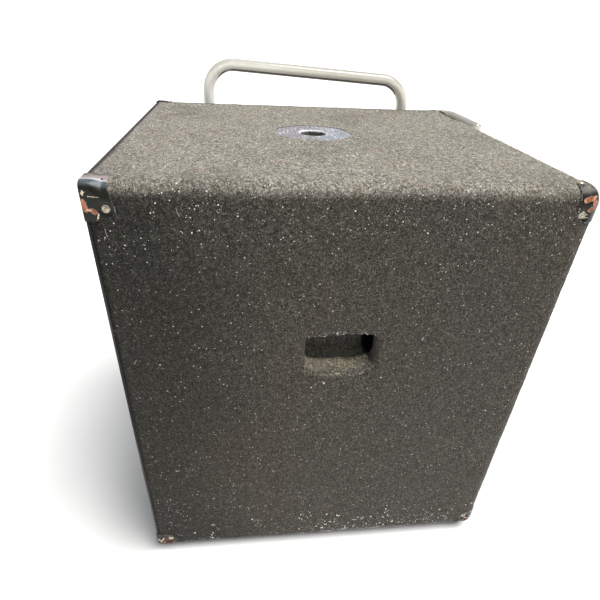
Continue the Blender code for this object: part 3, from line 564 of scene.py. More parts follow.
# ---------------------------------------------------------------- pieces
def piece(name, shape, finish, slot, *nodes, body="cabinet", smooth=True):
    """A visible piece from a bmesh or a mesh: its finish, its body, and the nodes it stands for."""
    if isinstance(shape, bmesh.types.BMesh):
        mesh = bpy.data.meshes.new(name)
        shape.to_mesh(mesh)
        shape.free()
    else:
        mesh = shape
    if smooth:
        mesh.shade_smooth()
        mesh.set_sharp_from_angle(angle=math.radians(38))
    obj = bpy.data.objects.new(name, mesh)
    bpy.context.scene.collection.objects.link(obj)
    mesh.materials.append(FINISHES[finish])
    if body:
        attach(obj, body)
    if nodes:
        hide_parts(*nodes)
    return obj


def add_shape(bm, vertices, faces):
    made = [bm.verts.new(v) for v in vertices]
    for face in faces:
        bm.faces.new([made[i] for i in face])


def shape_from(vertices, faces):
    bm = bmesh.new()
    add_shape(bm, vertices, faces)
    return bm


def ring_faces(bm, first, second):
    """Faces between two closed rings of vertices."""
    for k in range(len(first)):
        m = (k + 1) % len(first)
        bm.faces.new([first[k], first[m], second[m], second[k]])


def grid_faces(bm, grid, skipped=lambda i, j: False):
    """Faces between the vertices of a grid, but for the cells that are skipped."""
    for i, (row, following) in enumerate(zip(grid, grid[1:])):
        for j in range(len(row) - 1):
            if not skipped(i, j):
                bm.faces.new([row[j], following[j], following[j + 1], row[j + 1]])


def face_outwards(bm, probe, way):
    """Consistent faces, with the one that probe finds turned towards way."""
    bmesh.ops.recalc_face_normals(bm, faces=bm.faces)
    if probe(bm.faces).normal.dot(way) < 0:
        bmesh.ops.reverse_faces(bm, faces=bm.faces)


def float_layers(bm, *names):
    """Attribute layers, which have to be there before the vertices."""
    return [bm.verts.layers.float.new(name) for name in names]


def outward(bm):
    bmesh.ops.remove_doubles(bm, verts=bm.verts, dist=1e-6)
    bmesh.ops.recalc_face_normals(bm, faces=bm.faces)
    return bm


def turned(profile, centre, along, steps=64):
    """Vertices and faces of a profile of (radius, height) turned about an axis."""
    spin = UP.rotation_difference(along).to_matrix()
    vertices, rings = [], []
    for radius, height in profile:
        count = 1 if radius < 1e-6 else steps
        rings.append(range(len(vertices), len(vertices) + count))
        for i in range(count):
            turn = math.tau * i / steps
            local = Vector((radius * math.cos(turn), radius * math.sin(turn), height))
            vertices.append(centre + spin @ local)
    faces = []
    for low, high in zip(rings, rings[1:]):
        for i in range(steps):
            j = (i + 1) % steps
            corners = [low[i % len(low)], low[j % len(low)], high[j % len(high)], high[i % len(high)]]
            face = list(dict.fromkeys(corners))
            if len(face) > 2:
                faces.append(face)
    return vertices, faces


def turned_piece(name, profile, centre, along, finish, slot, *nodes, steps=64, body="cabinet"):
    bm = shape_from(*turned(profile, centre, along, steps))
    return piece(name, outward(bm), finish, slot, *nodes, body=body)


def swept(points, section, first_normal, radii=None):
    """Vertices and faces of a closed section carried along points, with both ends capped."""
    vertices, faces = [], []
    tangent = (points[1] - points[0]).normalized()
    normal = (first_normal - tangent * first_normal.dot(tangent)).normalized()
    count = len(section)
    for i, point in enumerate(points):
        ahead = points[min(i + 1, len(points) - 1)]
        behind = points[max(i - 1, 0)]
        heading = (ahead - behind).normalized()
        normal = (tangent.rotation_difference(heading) @ normal).normalized()
        tangent = heading
        side = tangent.cross(normal)
        size = radii[i] if radii else 1.0
        vertices += [point + (normal * a + side * b) * size for a, b in section]
    for i in range(len(points) - 1):
        for j in range(count):
            k = (j + 1) % count
            faces.append([i * count + j, i * count + k, (i + 1) * count + k, (i + 1) * count + j])
    faces.append(list(reversed(range(count))))
    last = (len(points) - 1) * count
    faces.append([last + j for j in range(count)])
    return vertices, faces


def circle(radius, sides):
    turns = [math.tau * i / sides for i in range(sides)]
    return [(radius * math.cos(t), radius * math.sin(t)) for t in turns]


def soft_box(bm, low, high, radius, segments=3):
    """A box with rounded edges, added to bm."""
    size = [b - a for a, b in zip(low, high)]
    made = bmesh.ops.create_cube(bm, size=1.0)["verts"]
    bmesh.ops.scale(bm, verts=made, vec=size)
    bmesh.ops.translate(bm, verts=made, vec=[(a + b) / 2 for a, b in zip(low, high)])
    edges = list({edge for vert in made for edge in vert.link_edges})
    bmesh.ops.bevel(bm, geom=edges, offset=radius, segments=segments, profile=0.5, affect="EDGES")


def bent(corners, radius, steps=14):
    """A path of straight runs whose corners are arcs."""
    path = [corners[0]]
    for before, corner, after in zip(corners, corners[1:], corners[2:]):
        first, second = (before - corner).normalized(), (after - corner).normalized()
        half = first.angle(second) / 2
        middle_way = (first + second).normalized()
        centre = corner + middle_way * (radius / math.sin(half))
        start = corner + first * (radius / math.tan(half)) - centre
        end = corner + second * (radius / math.tan(half)) - centre
        turn = start.rotation_difference(end)
        axis, angle = turn.to_axis_angle()
        for i in range(steps + 1):
            path.append(centre + Matrix.Rotation(angle * i / steps, 3, axis) @ start)
    path.append(corners[-1])
    return path


# ---------------------------------------------------------------- carpet
def on_skin(x, y, z, grow=0.0):
    """The place on the cabinet's rounded skin over a point of its plain box, and the outward way."""
    inner = Vector(
        (
            within(x, LOW.x + EDGE, HIGH.x - EDGE),
            min(y, HIGH.y - EDGE),
            within(z, LOW.z + EDGE, HIGH.z - EDGE),
        )
    )
    away = (Vector((x, y, z)) - inner).normalized()
    return inner + away * (EDGE + grow), away


def squircle(turn, half_a, half_b, power):
    """The point at an angle on a rounded rectangle's outline."""
    c, s = math.cos(turn), math.sin(turn)
    reach = (abs(c / half_a) ** power + abs(s / half_b) ** power) ** (-1 / power)
    return reach * c, reach * s


FOLD = 0.0015  # the carpet turns in round the front edge with this radius
CARPET_FRONT = FRONT - 0.0010  # and laps over the grille's folded edge by this much


def plain_ring(half_a, half_b, power, depth):
    return lambda turn: (*squircle(turn, half_a, half_b, power), depth)


def smooth(value, start, end):
    share = within((value - start) / (end - start))
    return share * share * (3 - 2 * share)


def slot_ring(rolled, down, flare=0.0):
    """The carpet in a hand slot: how much of the roll is done, then how far down the sleeve it is."""

    def at(turn):
        rear, up = math.cos(turn), math.sin(turn)
        top, low = smooth(up, 0.1, 0.9), smooth(-up, 0.1, 0.9)
        behind = max(0.0, rear)
        outer = Vector((0.0585 - 0.0020 * behind, 0.0400 + 0.0030 * low))
        inner = Vector((0.0455, 0.0205 + 0.0118 * low))
        inner += Vector((0.0045 * rear + 0.0020 * top * rear, 0.0026 * rear * top))
        over = 0.0085 + low * 0.0035 - 0.0010 * behind
        whole = 0.0250 - top * 0.0030 + low * 0.0045
        quarter = rolled * math.pi / 2
        a, b = squircle(turn, *outer, 3.2)
        c, d = squircle(turn, *(inner + Vector((flare, flare))), 8.0)
        share = math.sin(quarter)
        depth = over * (1 - math.cos(quarter)) + (whole - over) * down
        return a + (c - a) * share, b + (d - b) * share, depth

    return at


SLOT_RINGS = [slot_ring(i / 7, 0.0) for i in range(8)] + [slot_ring(1.0, i / 8) for i in range(1, 9)]
SLOT_RINGS += [slot_ring(1.0, 1.06, 0.0015), slot_ring(1.0, 1.02, 0.0026)]
POLE_RINGS = [
    plain_ring(0.0515, 0.0570, 2.0, -0.0002),
    plain_ring(0.0500, 0.0556, 2.0, -0.0005),
    plain_ring(0.0490, 0.0547, 2.0, -0.0004),
    plain_ring(0.0484, 0.0542, 2.0, 0.0001),
    plain_ring(0.0482, 0.0541, 2.0, 0.0008),
]
DISH_RINGS = [plain_ring(0.0625, 0.0425, 9.0, 0.0), plain_ring(0.0615, 0.0415, 9.0, 0.0008)]
DISH_RINGS.append(plain_ring(0.0612, 0.0412, 9.0, 0.0030))
# side: the window's centre, half its size, its rings, and their waviness
WINDOWS = {
    "right": ((SLOT.y, SLOT.z), (0.094, 0.070), SLOT_RINGS, 0.0015),
    "left": ((SLOT.y, SLOT.z), (0.094, 0.070), SLOT_RINGS, 0.0015),
    "top": ((POLE.x, POLE.y), (0.078, 0.078), POLE_RINGS, 0.0016),
    "rear": ((PLATE.x, PLATE.z), (0.085, 0.065), DISH_RINGS, 0.0003),
}
# side: the axis across it and its level on it, then the two axes along it
SIDES = {
    "right": (X, HIGH.x, Y, Z),
    "left": (X, LOW.x, Y, Z),
    "top": (Z, HIGH.z, X, Y),
    "bottom": (Z, LOW.z, X, Y),
    "rear": (Y, HIGH.y, X, Z),
}


def steps_along(axis):
    start = CARPET_FRONT + FOLD if axis == Y else LOW[axis]
    count = round((HIGH[axis] - start) / CELL)
    return [start + (HIGH[axis] - start) * i / count for i in range(count + 1)]


def carpet_side(bm, side, ledge_dust_and_light, niche):
    """One face of the carpet as a grid, with a patch of rings where it goes into an opening."""
    fixed, level, across, along = SIDES[side]
    us, vs = steps_along(across), steps_along(along)
    out = Vector((0, 0, 0))
    out[fixed] = 1.0 if level == HIGH[fixed] else -1.0

    def place(u, v, depth=0.0):
        point = [0.0, 0.0, 0.0]
        point[fixed], point[across], point[along] = level, u, v
        return on_skin(*point)[0] - out * depth

    grid = [[bm.verts.new(place(u, v)) for v in vs] for u in us]
    if side not in WINDOWS:
        grid_faces(bm, grid)
        return
    (cu, cv), (hu, hv), rings, wavy = WINDOWS[side]
    i0, i1 = (min(range(len(us)), key=lambda i: abs(us[i] - edge)) for edge in (cu - hu, cu + hu))
    j0, j1 = (min(range(len(vs)), key=lambda j: abs(vs[j] - edge)) for edge in (cv - hv, cv + hv))
    grid_faces(bm, grid, lambda i, j: i0 <= i < i1 and j0 <= j < j1)
    loop = [(i, j0) for i in range(i0, i1)] + [(i1, j) for j in range(j0, j1)]
    loop += [(i, j1) for i in range(i1, i0, -1)] + [(i0, j) for j in range(j1, j0, -1)]
    for i in range(i0 + 1, i1):
        for j in range(j0 + 1, j1):
            bm.verts.remove(grid[i][j])
    before = [grid[i][j] for i, j in loop]
    offsets = [(us[i] - cu, vs[j] - cv) for i, j in loop]
    edge_u, edge_v = rings[0](0.0)[0], rings[0](math.pi / 2)[1]
    turns = [math.atan2(b * edge_u / edge_v, a) for a, b in offsets]
    first = [rings[0](turn)[:2] for turn in turns]
    approach = 9
    layers = []
    for k in range(1, approach):
        share = k / approach
        pairs = zip(offsets, first)
        layers.append([(a + (p - a) * share, b + (q - b) * share, 0.0) for (a, b), (p, q) in pairs])
    layers += [[ring_at(turn) for turn in turns] for ring_at in rings]
    for number, layer in enumerate(layers):
        strength = wavy * within((number - approach / 2) / 6)
        ring = []
        for a, b, depth in layer:
            point = place(cu + a, cv + b, depth)
            shift = (noise.noise_vector(point * 46) + 0.4 * noise.noise_vector(point * 170)) * strength
            shift[fixed] *= 0.25 if side == "top" else 1.0
            vert = bm.verts.new(point + shift)
            # bottom ledge of a slot: dust, and painted light that grows deeper into the slot
            if depth > 0.004 and b < -0.6 * edge_v:
                vert[ledge_dust_and_light] = smooth(depth, 0.002, 0.007) * (0.40 + 0.60 * smooth(depth, 0.006, 0.022))
            if rings is SLOT_RINGS:
                vert[niche] = smooth(depth, 0.0002, 0.0035)
            ring.append(vert)
        ring_faces(bm, before, ring)
        before = ring


def near_corner(point):
    """1 under a corner protector, where the carpet is pressed flat, 0 well away from it."""
    x = min(point.x - LOW.x, HIGH.x - point.x)
    y = min(point.y - FRONT, HIGH.y - point.y)
    z = min(point.z - LOW.z, HIGH.z - point.z)
    reach = max(x / LEGS.x, y / LEGS.y, z / LEGS.z)
    return within((1.35 - reach) / 0.2)


STAY_SHADOW_END = -0.112  # the top is dark beside the stay, to this place along X


def carpet_edge_shade(p):
    """Painted shade on the carpet: how dark it is along the top's far edge, round the front fold, and as
    the stay's shadow beside the stay.
    """
    ragged = 0.003 * noise.noise(p * 60)
    far_edge = 0.75 - 0.75 * smooth(p.x + ragged, LOW.x + 0.0200, LOW.x + 0.0300)
    front_fold = 1 - smooth(p.y, FRONT + 0.0012, FRONT + 0.0030)
    beside_stay = smooth(STAY_SHADOW_END - p.x, 0.0, 0.004) * smooth(p.x, LOW.x + 0.024, LOW.x + 0.036)
    beside_stay *= 1 - smooth(HIGH.y - p.y, 0.0190, 0.0240)
    near_top = smooth(p.z, HIGH.z - 0.0300, HIGH.z - 0.0180)
    return max(far_edge * near_top, front_fold, beside_stay * near_top)


def carpet_relief(p):
    """Unevenness of the carpet's surface at three scales."""
    rough = noise.noise(p * 150) * 0.00028 + noise.noise(p * 52 + Vector((3, 1, 2))) * 0.00034
    return rough + noise.noise(p * 15 + Vector((7, 5, 1))) * 0.00050 - 0.00025


def make_carpet():
    """The glued carpet: one skin over five faces, rolled into the slots and round the front edge."""
    bm = bmesh.new()
    ledge_dust_and_light, niche = float_layers(bm, "ledge_dust_and_light", "niche")
    for side in SIDES:
        carpet_side(bm, side, ledge_dust_and_light, niche)
    bmesh.ops.remove_doubles(bm, verts=bm.verts, dist=1e-5)
    edge = CARPET_FRONT + FOLD
    rim = [e for e in bm.edges if e.is_boundary and all(abs(v.co.y - edge) < 1e-5 for v in e.verts)]
    stages = [(FOLD * (1 - math.sin(t)), FOLD * (1 - math.cos(t))) for t in (0.5, 1.0, math.pi / 2)]
    stages += [(0.0, 0.0020), (0.0018, 0.0021), (0.0018, 0.0165)]
    base = {}
    for edge in rim:
        for vert in edge.verts:
            base[vert] = (vert.co.copy(), on_skin(vert.co.x, vert.co.y, vert.co.z)[1])
    for ahead, inward in stages:
        made = bmesh.ops.extrude_edge_only(bm, edges=rim)["geom"]
        fresh = [g for g in made if isinstance(g, bmesh.types.BMVert)]
        lookup = {(round(v.co.x, 6), round(v.co.z, 6)): spot for v, spot in base.items()}
        moved = {}
        for vert in fresh:
            start, way = lookup[(round(vert.co.x, 6), round(vert.co.z, 6))]
            vert.co = Vector((start.x, CARPET_FRONT + ahead, start.z)) - way * inward
            moved[vert] = (start, way)
        base = moved
        rim = [g for g in made if isinstance(g, bmesh.types.BMEdge)]
        rim = [g for g in rim if all(v in moved for v in g.verts)]
    face_outwards(bm, lambda faces: max(faces, key=lambda face: face.calc_center_median().z), UP)
    bm.normal_update()
    # attributes for the painted shade towards the front and along the edges
    shade, painted_edge_shade = float_layers(bm, "shade", "painted_edge_shade")
    shifts = []
    for vert in bm.verts:
        p = vert.co
        vert[painted_edge_shade] = carpet_edge_shade(p)
        # painted shade, full at the front and gone 0.25 m back
        vert[shade] = 1 - smooth(p.y + noise.noise(p * 9) * 0.05, FRONT, FRONT + 0.25)
        shifts.append(vert.normal * carpet_relief(p) * (1 - near_corner(p)))
    for vert, shift in zip(bm.verts, shifts):
        vert.co += shift
    return piece("carpet", bm, "carpet", "carpet", "carpet_covering")


# ---------------------------------------------------------------- lint and loose fibres
SLOT_CLEAR, PLATE_CLEAR = (0.060, 0.045), (0.078, 0.058)  # half the areas that stay free of lint
AT_FACE = 0.004  # this near a face's plane counts as on it


def clear_of_openings(point):
    """False in the openings, on the pole plate and connector plate, and under the protectors."""
    if near_corner(point) > 0.1:
        return False
    from_pole = math.hypot(point.x - POLE.x, point.y - POLE.y)
    if point.z > HIGH.z - AT_FACE and from_pole < POLE_PLATE + 0.002:
        return False
    if abs(point.y - SLOT.y) < SLOT_CLEAR[0] and abs(point.z - SLOT.z) < SLOT_CLEAR[1]:
        return False
    beside, over = abs(point.x - PLATE.x), abs(point.z - PLATE.z)
    return not (point.y > HIGH.y - AT_FACE and beside < PLATE_CLEAR[0] and over < PLATE_CLEAR[1])


def random_spot(rng, side, zone=((0, 1), (0, 1))):
    """A place on a face of the carpet, in a zone given as shares of the face's two axes."""
    fixed, level, across, along = SIDES[side]
    while True:
        point = [0.0, 0.0, 0.0]
        for axis, (first, last) in zip((across, along), zone):
            start = FRONT + 0.004 if axis == Y else LOW[axis]
            point[axis] = start + (HIGH[axis] - start) * (first + (last - first) * rng.random())
        point[fixed] = level
        spot, way = on_skin(*point)
        if clear_of_openings(spot):
            return Vector(point), spot, way


def strand(rng, side, zone, length, radius, lift, sides=3, wander=0.9):
    """A curled fibre that lies on the carpet and follows its edges."""
    fixed, _, across, along = SIDES[side]
    point, _, _ = random_spot(rng, side, zone)
    count = max(4, int(length / 0.0016))
    heading, curl = rng.uniform(0, math.tau), rng.uniform(-wander, wander)
    path = []
    for i in range(count):
        spot, way = on_skin(*point)
        arch = math.sin(math.pi * i / (count - 1))
        path.append(spot + way * (0.0002 + radius + lift * arch))
        point[across] += math.cos(heading) * length / count
        point[along] += math.sin(heading) * length / count
        point[across] = within(point[across], LOW[across], HIGH[across])
        point[along] = within(point[along], LOW[along] + 0.003, HIGH[along])
        curl += rng.uniform(-0.45, 0.45)
        heading += curl * 0.5
    radii = [0.35 + 0.65 * math.sin(math.pi * (i + 0.6) / (count + 0.2)) for i in range(count)]
    return swept(path, circle(radius, sides), way, radii)


def fleck(rng, spot, way, size):
    """A small flattened tuft of lint."""
    turn = UP.rotation_difference(way).to_matrix() @ Matrix.Rotation(rng.uniform(0, math.tau), 3, "Z")
    stretch = rng.uniform(0.45, 1.0)
    bm = bmesh.new()
    bmesh.ops.create_icosphere(bm, subdivisions=1, radius=size)
    vertices = []
    for vert in bm.verts:
        ragged = vert.co * rng.uniform(0.6, 1.25)
        local = Vector((ragged.x, ragged.y * stretch, ragged.z * 0.45 + size * 0.2))
        vertices.append(spot + turn @ local)
    bm.verts.index_update()
    faces = [[v.index for v in face.verts] for face in bm.faces]
    bm.free()
    return vertices, faces


LINT_SEED, FUZZ_SEED, WEAR_SEED = 41, 7, 12
WHOLE = ((0, 1), (0, 1))
# side, zone, flecks, threads
LINT_ZONES = [
    ("right", WHOLE, 360, 22),
    ("right", ((0.0, 1.0), (0.0, 0.22)), 150, 24),
    ("right", ((0.45, 0.97), (0.0, 0.08)), 330, 34),
    ("right", ((0.0, 1.0), (0.90, 1.0)), 200, 10),
    ("right", ((0.0, 0.22), (0.86, 0.99)), 40, 4),
    ("top", WHOLE, 760, 30),
    ("top", ((0.0, 1.0), (0.0, 0.45)), 420, 14),
    ("left", WHOLE, 260, 60),
    ("left", ((0.0, 1.0), (0.0, 0.20)), 120, 30),
    ("rear", WHOLE, 260, 60),
    ("rear", ((0.0, 1.0), (0.0, 0.20)), 110, 30),
]


def make_lint():
    rng = random.Random(LINT_SEED)
    flecks, threads = bmesh.new(), bmesh.new()
    for side, zone, fleck_count, thread_count in LINT_ZONES:
        for _ in range(fleck_count):
            _, spot, way = random_spot(rng, side, zone)
            add_shape(flecks, *fleck(rng, spot, way, 0.00034 + 0.00062 * rng.random() ** 2.6))
        for _ in range(thread_count):
            length = 0.003 + 0.009 * rng.random() ** 2.5
            add_shape(threads, *strand(rng, side, zone, length, rng.uniform(0.00011, 0.00022), 0.0004))
    for _ in range(150):
        _, spot, way = random_spot(rng, "top")
        add_shape(flecks, *fleck(rng, spot, way, rng.uniform(0.0008, 0.0015)))
    for _ in range(46):
        zone = ((0.40, 0.97), (0.0, 0.05 + 0.08 * rng.random()))
        length = 0.003 + 0.010 * rng.random() ** 2
        radius = rng.uniform(0.00030, 0.00058)
        add_shape(threads, *strand(rng, "right", zone, length, radius, 0.0007, wander=1.5))
    for _ in range(60):
        _, spot, way = random_spot(rng, "right", ((0.03, 0.97), (0.0, 0.11)))
        add_shape(flecks, *fleck(rng, spot, way, rng.uniform(0.0009, 0.0017)))
    below_slot = ((-0.0145, -0.0500, 0.0019), (-0.0310, -0.0570, 0.0012), (0.0600, -0.0440, 0.0011))
    for y, z, size in below_slot:
        add_shape(flecks, *fleck(rng, Vector((HIGH.x, SLOT.y + y, SLOT.z + z)), RIGHT, size))
    for _ in range(30):
        turn, rolled = rng.uniform(0.45, 2.7), rng.uniform(0.35, 0.9)
        y, z, depth = slot_ring(rolled, 0.0)(turn)
        spot = Vector((HIGH.x - depth, SLOT.y + y, SLOT.z + z))
        add_shape(flecks, *fleck(rng, spot, (RIGHT - UP * 0.4).normalized(), rng.uniform(0.0005, 0.0011)))
    piece("lint_flecks", flecks, "lint", "carpet")
    piece("lint_threads", threads, "lint", "carpet")


def make_fuzz():
    """Short grey fibres that stand out of the carpet."""
    rng = random.Random(FUZZ_SEED)
    shares = (("right", 3600), ("top", 4200), ("left", 3000), ("rear", 3000), ("bottom", 700))
    zones = {"top": ((0.07, 1), (0, 1)), "left": ((0, 1), (0, 0.955))}
    for side, count in shares:
        bm = bmesh.new()
        for _ in range(count):
            length = rng.uniform(0.003, 0.007)
            lift = rng.uniform(0.0004, 0.0013)
            add_shape(bm, *strand(rng, side, zones.get(side, WHOLE), length, 0.00012, lift, wander=1.6))
        piece(f"carpet_fibres_{side}", bm, "fuzz", "carpet")


# ---------------------------------------------------------------- corner protectors
def corner_signs():
    for word_y, sy in (("front", -1), ("rear", 1)):
        for word_z, sz in (("top", 1), ("bottom", -1)):
            for word_x, sx in (("right", 1), ("left", -1)):
                yield f"corner_{word_y}_{word_z}_{word_x}", sx, sy, sz


ARC_HALF = EDGE * math.pi / 4  # half the length round the rounded edge
SIDE_END = -(ARC_HALF + LEGS.z - EDGE)
TOP_END = ARC_HALF + 0.0045
SCREW_ALONG, SCREW_Y = -(ARC_HALF + 0.0058), FRONT + 0.0180
STRAP, LOBE = 0.0260, 0.0308  # width along Y over the edge, and round the screw
FLARE_START, FLARE_END = 0.0035, 0.0163
LIP = 0.0105  # how far the front protector folds over the front
FOLD_Y = FRONT - 0.0040
SHARP = 6.0  # how square the upper protectors' bend is at the front
STEEL = 0.0010
DIMPLE, DIMPLE_DEPTH = 0.0085, 0.0014


def corner_at(sx, y, sz):
    """The sharp corner of the cabinet's plain box, at a place along Y."""
    return Vector((HIGH.x if sx > 0 else LOW.x, y, HIGH.z if sz > 0 else LOW.z))


def edge_point(sx, sz, along, grow, power=2.0):
    """A point on the long rounded edge: along runs from the side, below 0, to the top, above 0.

    A power above 2 makes the edge sharper.
    """
    centre = corner_at(sx, 0, sz) - Vector((sx, 0, sz)) * EDGE
    turn = within(along / EDGE + math.pi / 4, 0.0, math.pi / 2)
    way = Vector((sx * math.cos(turn), 0, sz * math.sin(turn)))
    bulge = (abs(way.x) ** power + abs(way.z) ** power) ** (-1 / power)
    spot = centre + way * (EDGE * bulge + grow)
    if along < -ARC_HALF:
        spot.z += sz * (along + ARC_HALF)
    elif along > ARC_HALF:
        spot.x -= sx * (along - ARC_HALF)
    return spot, way


def strap_width(along):
    """The front protector's width at a place along the edge: a strap that flares to a lobe."""
    if along > 0:
        corner = 0.0050
        past = max(0.0, 1 - (TOP_END - along) / corner)
        return STRAP - corner + corner * math.sqrt(max(0.0, 1 - past * past))
    reach, screw, end = -along, -SCREW_ALONG, -SIDE_END
    if reach < FLARE_END:
        return STRAP + (LOBE - 0.0009 - STRAP) * max(0.0, (reach - FLARE_START) / (FLARE_END - FLARE_START))
    if reach < screw:
        return LOBE - 0.0009 * (1 - smooth(reach, FLARE_END, screw))
    past = (reach - screw) / (end - screw)
    return max(LOBE * max(0.0, 1 - past**2.4) ** (1 / 2.4), 0.0030)


def nearness(point, patches):
    """1 on the line between a patch's two ends, falling to 0 at its reach."""
    best = 0.0
    for start, end, reach in patches:
        span = end - start
        share = within((point - start).dot(span) / max(span.length_squared, 1e-12))
        best = max(best, 1 - (point - start - span * share).length / reach)
    return best


def front_protector(name, sx, sz, rng):
    """A steel strap folded over the rounded edge and over the front, with a lobe for its screw."""
    bm = bmesh.new()
    count, folds, across = 110, 5, 40
    bend = 0.0022
    patches, marks = wear_patches(name, sx, -1, sz, rng)
    rim_layer, worn_layer, mark_layer, along_layer = float_layers(bm, "rim", "worn", "mark", "along")
    rows, rims, places = [], [], []
    square = SHARP if sz > 0 else 2.0
    for i in range(count + 1):
        along = SIDE_END + (TOP_END - SIDE_END) * i / count
        width = strap_width(along)
        end_rim = max(0.0, 1 - min(i, count - i) / 2.5)
        row, rim_row = [], []
        for k in range(8):
            deep = LIP * (1 - k / 8)
            spot, way = edge_point(sx, sz, along, PROUD - bend - deep, square)
            row.append(Vector((spot.x, FOLD_Y, spot.z)))
            rim_row.append(max(end_rim, 1 - k / 2.2))
        for k in range(folds):
            turn = math.pi / 2 * k / folds
            spot, way = edge_point(sx, sz, along, PROUD - bend * (1 - math.sin(turn)), square)
            row.append(Vector((spot.x, FOLD_Y + bend * (1 - math.cos(turn)), spot.z)))
            rim_row.append(max(end_rim * 0.8, 0.30))
        for k in range(across + 1):
            share = k / across
            power = square + (2.0 - square) * smooth(share, 0.0, 0.8)
            spot, way = edge_point(sx, sz, along, PROUD, power)
            row.append(Vector((spot.x, FOLD_Y + bend + (width - bend) * share, spot.z)))
            from_end, from_fold = (1 - share) * width, share * width
            rim_row.append(max(end_rim * 0.6, 1 - from_end / 0.0014, 0.6 - from_fold / 0.003))
        rows.append([bm.verts.new(v) for v in row])
        rims.append(rim_row)
        places.append(along)
    for row, rim_row, along in zip(rows, rims, places):
        for vert, rim in zip(row, rim_row):
            vert[rim_layer] = within(rim) * (1.0 if sz > 0 else 0.6)
            vert[worn_layer] = nearness(vert.co, patches)
            vert[mark_layer] = nearness(vert.co, marks)
            vert[along_layer] = along / EDGE + 0.5
    for a, b in zip(rows, rows[1:]):
        for k in range(len(a) - 1):
            bm.faces.new([a[k], a[k + 1], b[k + 1], b[k]])
    spot, way = edge_point(sx, sz, SCREW_ALONG, PROUD)
    seats = [(Vector((spot.x, SCREW_Y, spot.z)), way)]
    finish_shell(bm, name, seats)
    return seats


def rear_protector(name, sx, sz, rng):
    """A pressed steel ball corner: three flaps with rounded ends, one over each face."""
    bm = bmesh.new()
    rim_layer, worn_layer, mark_layer = float_layers(bm, "rim", "worn", "mark")
    corner = corner_at(sx, HIGH.y, sz)
    steps = [Vector((-sx * LEGS.x, 0, 0)), Vector((0, -LEGS.y, 0)), Vector((0, 0, -sz * LEGS.z))]
    patches, marks = wear_patches(name, sx, 1, sz, rng)
    count, power = 34, 4.5
    for first, second in ((1, 2), (0, 2), (0, 1)):
        grid = []
        for i in range(count + 1):
            column = []
            for j in range(count + 1):
                s, t = i / count, j / count
                outer = max(s, t)
                size = (s**power + t**power) ** (1 / power)
                pull = outer / size if size > 1e-9 else 1.0
                flat = corner + steps[first] * s * pull + steps[second] * t * pull
                vert = bm.verts.new(on_skin(*flat, grow=PROUD)[0])
                vert[rim_layer] = max(0.0, 1 - (1 - outer) * count / 2.5)
                vert[worn_layer] = nearness(vert.co, patches)
                vert[mark_layer] = nearness(vert.co, marks)
                column.append(vert)
            grid.append(column)
        grid_faces(bm, grid)
    bmesh.ops.remove_doubles(bm, verts=bm.verts, dist=1e-6)
    seats = []
    for a, b, way in ((1, 2, RIGHT * sx), (0, 2, BACK), (0, 1, UP * sz)):
        flat = corner.copy()
        inward = (-sx, -1, -sz)
        flat[a] += inward[a] * LEGS[a] * 0.76
        flat[b] += inward[b] * LEGS[b] * 0.76
        seats.append((on_skin(*flat, grow=PROUD)[0], way))
    finish_shell(bm, name, seats)
    return seats


def finish_shell(bm, name, seats):
    """Faces outwards, a pressed dimple for each screw, shallow dents, then a steel thickness."""
    centre = Vector((CENTRE_X, 0, (LOW.z + HIGH.z) / 2))
    bmesh.ops.recalc_face_normals(bm, faces=bm.faces)
    face = max(bm.faces, key=lambda f: f.calc_area())
    if face.normal.dot(face.calc_center_median() - centre) < 0:
        bmesh.ops.reverse_faces(bm, faces=bm.faces)
    bm.normal_update()
    for vert in bm.verts:
        pressed = max(1 - smooth((vert.co - spot).length, 0.0050, DIMPLE) for spot, _ in seats)
        dent = 0.00018 * (0.5 + 0.5 * noise.noise(vert.co * 70))
        vert.co -= vert.normal * (dent + DIMPLE_DEPTH * pressed)
    obj = piece(name + "_steel", bm, "protector_steel", "protector_steel", name)
    thick = obj.modifiers.new("steel", "SOLIDIFY")
    thick.thickness = STEEL
    thick.offset = -1.0
    return obj


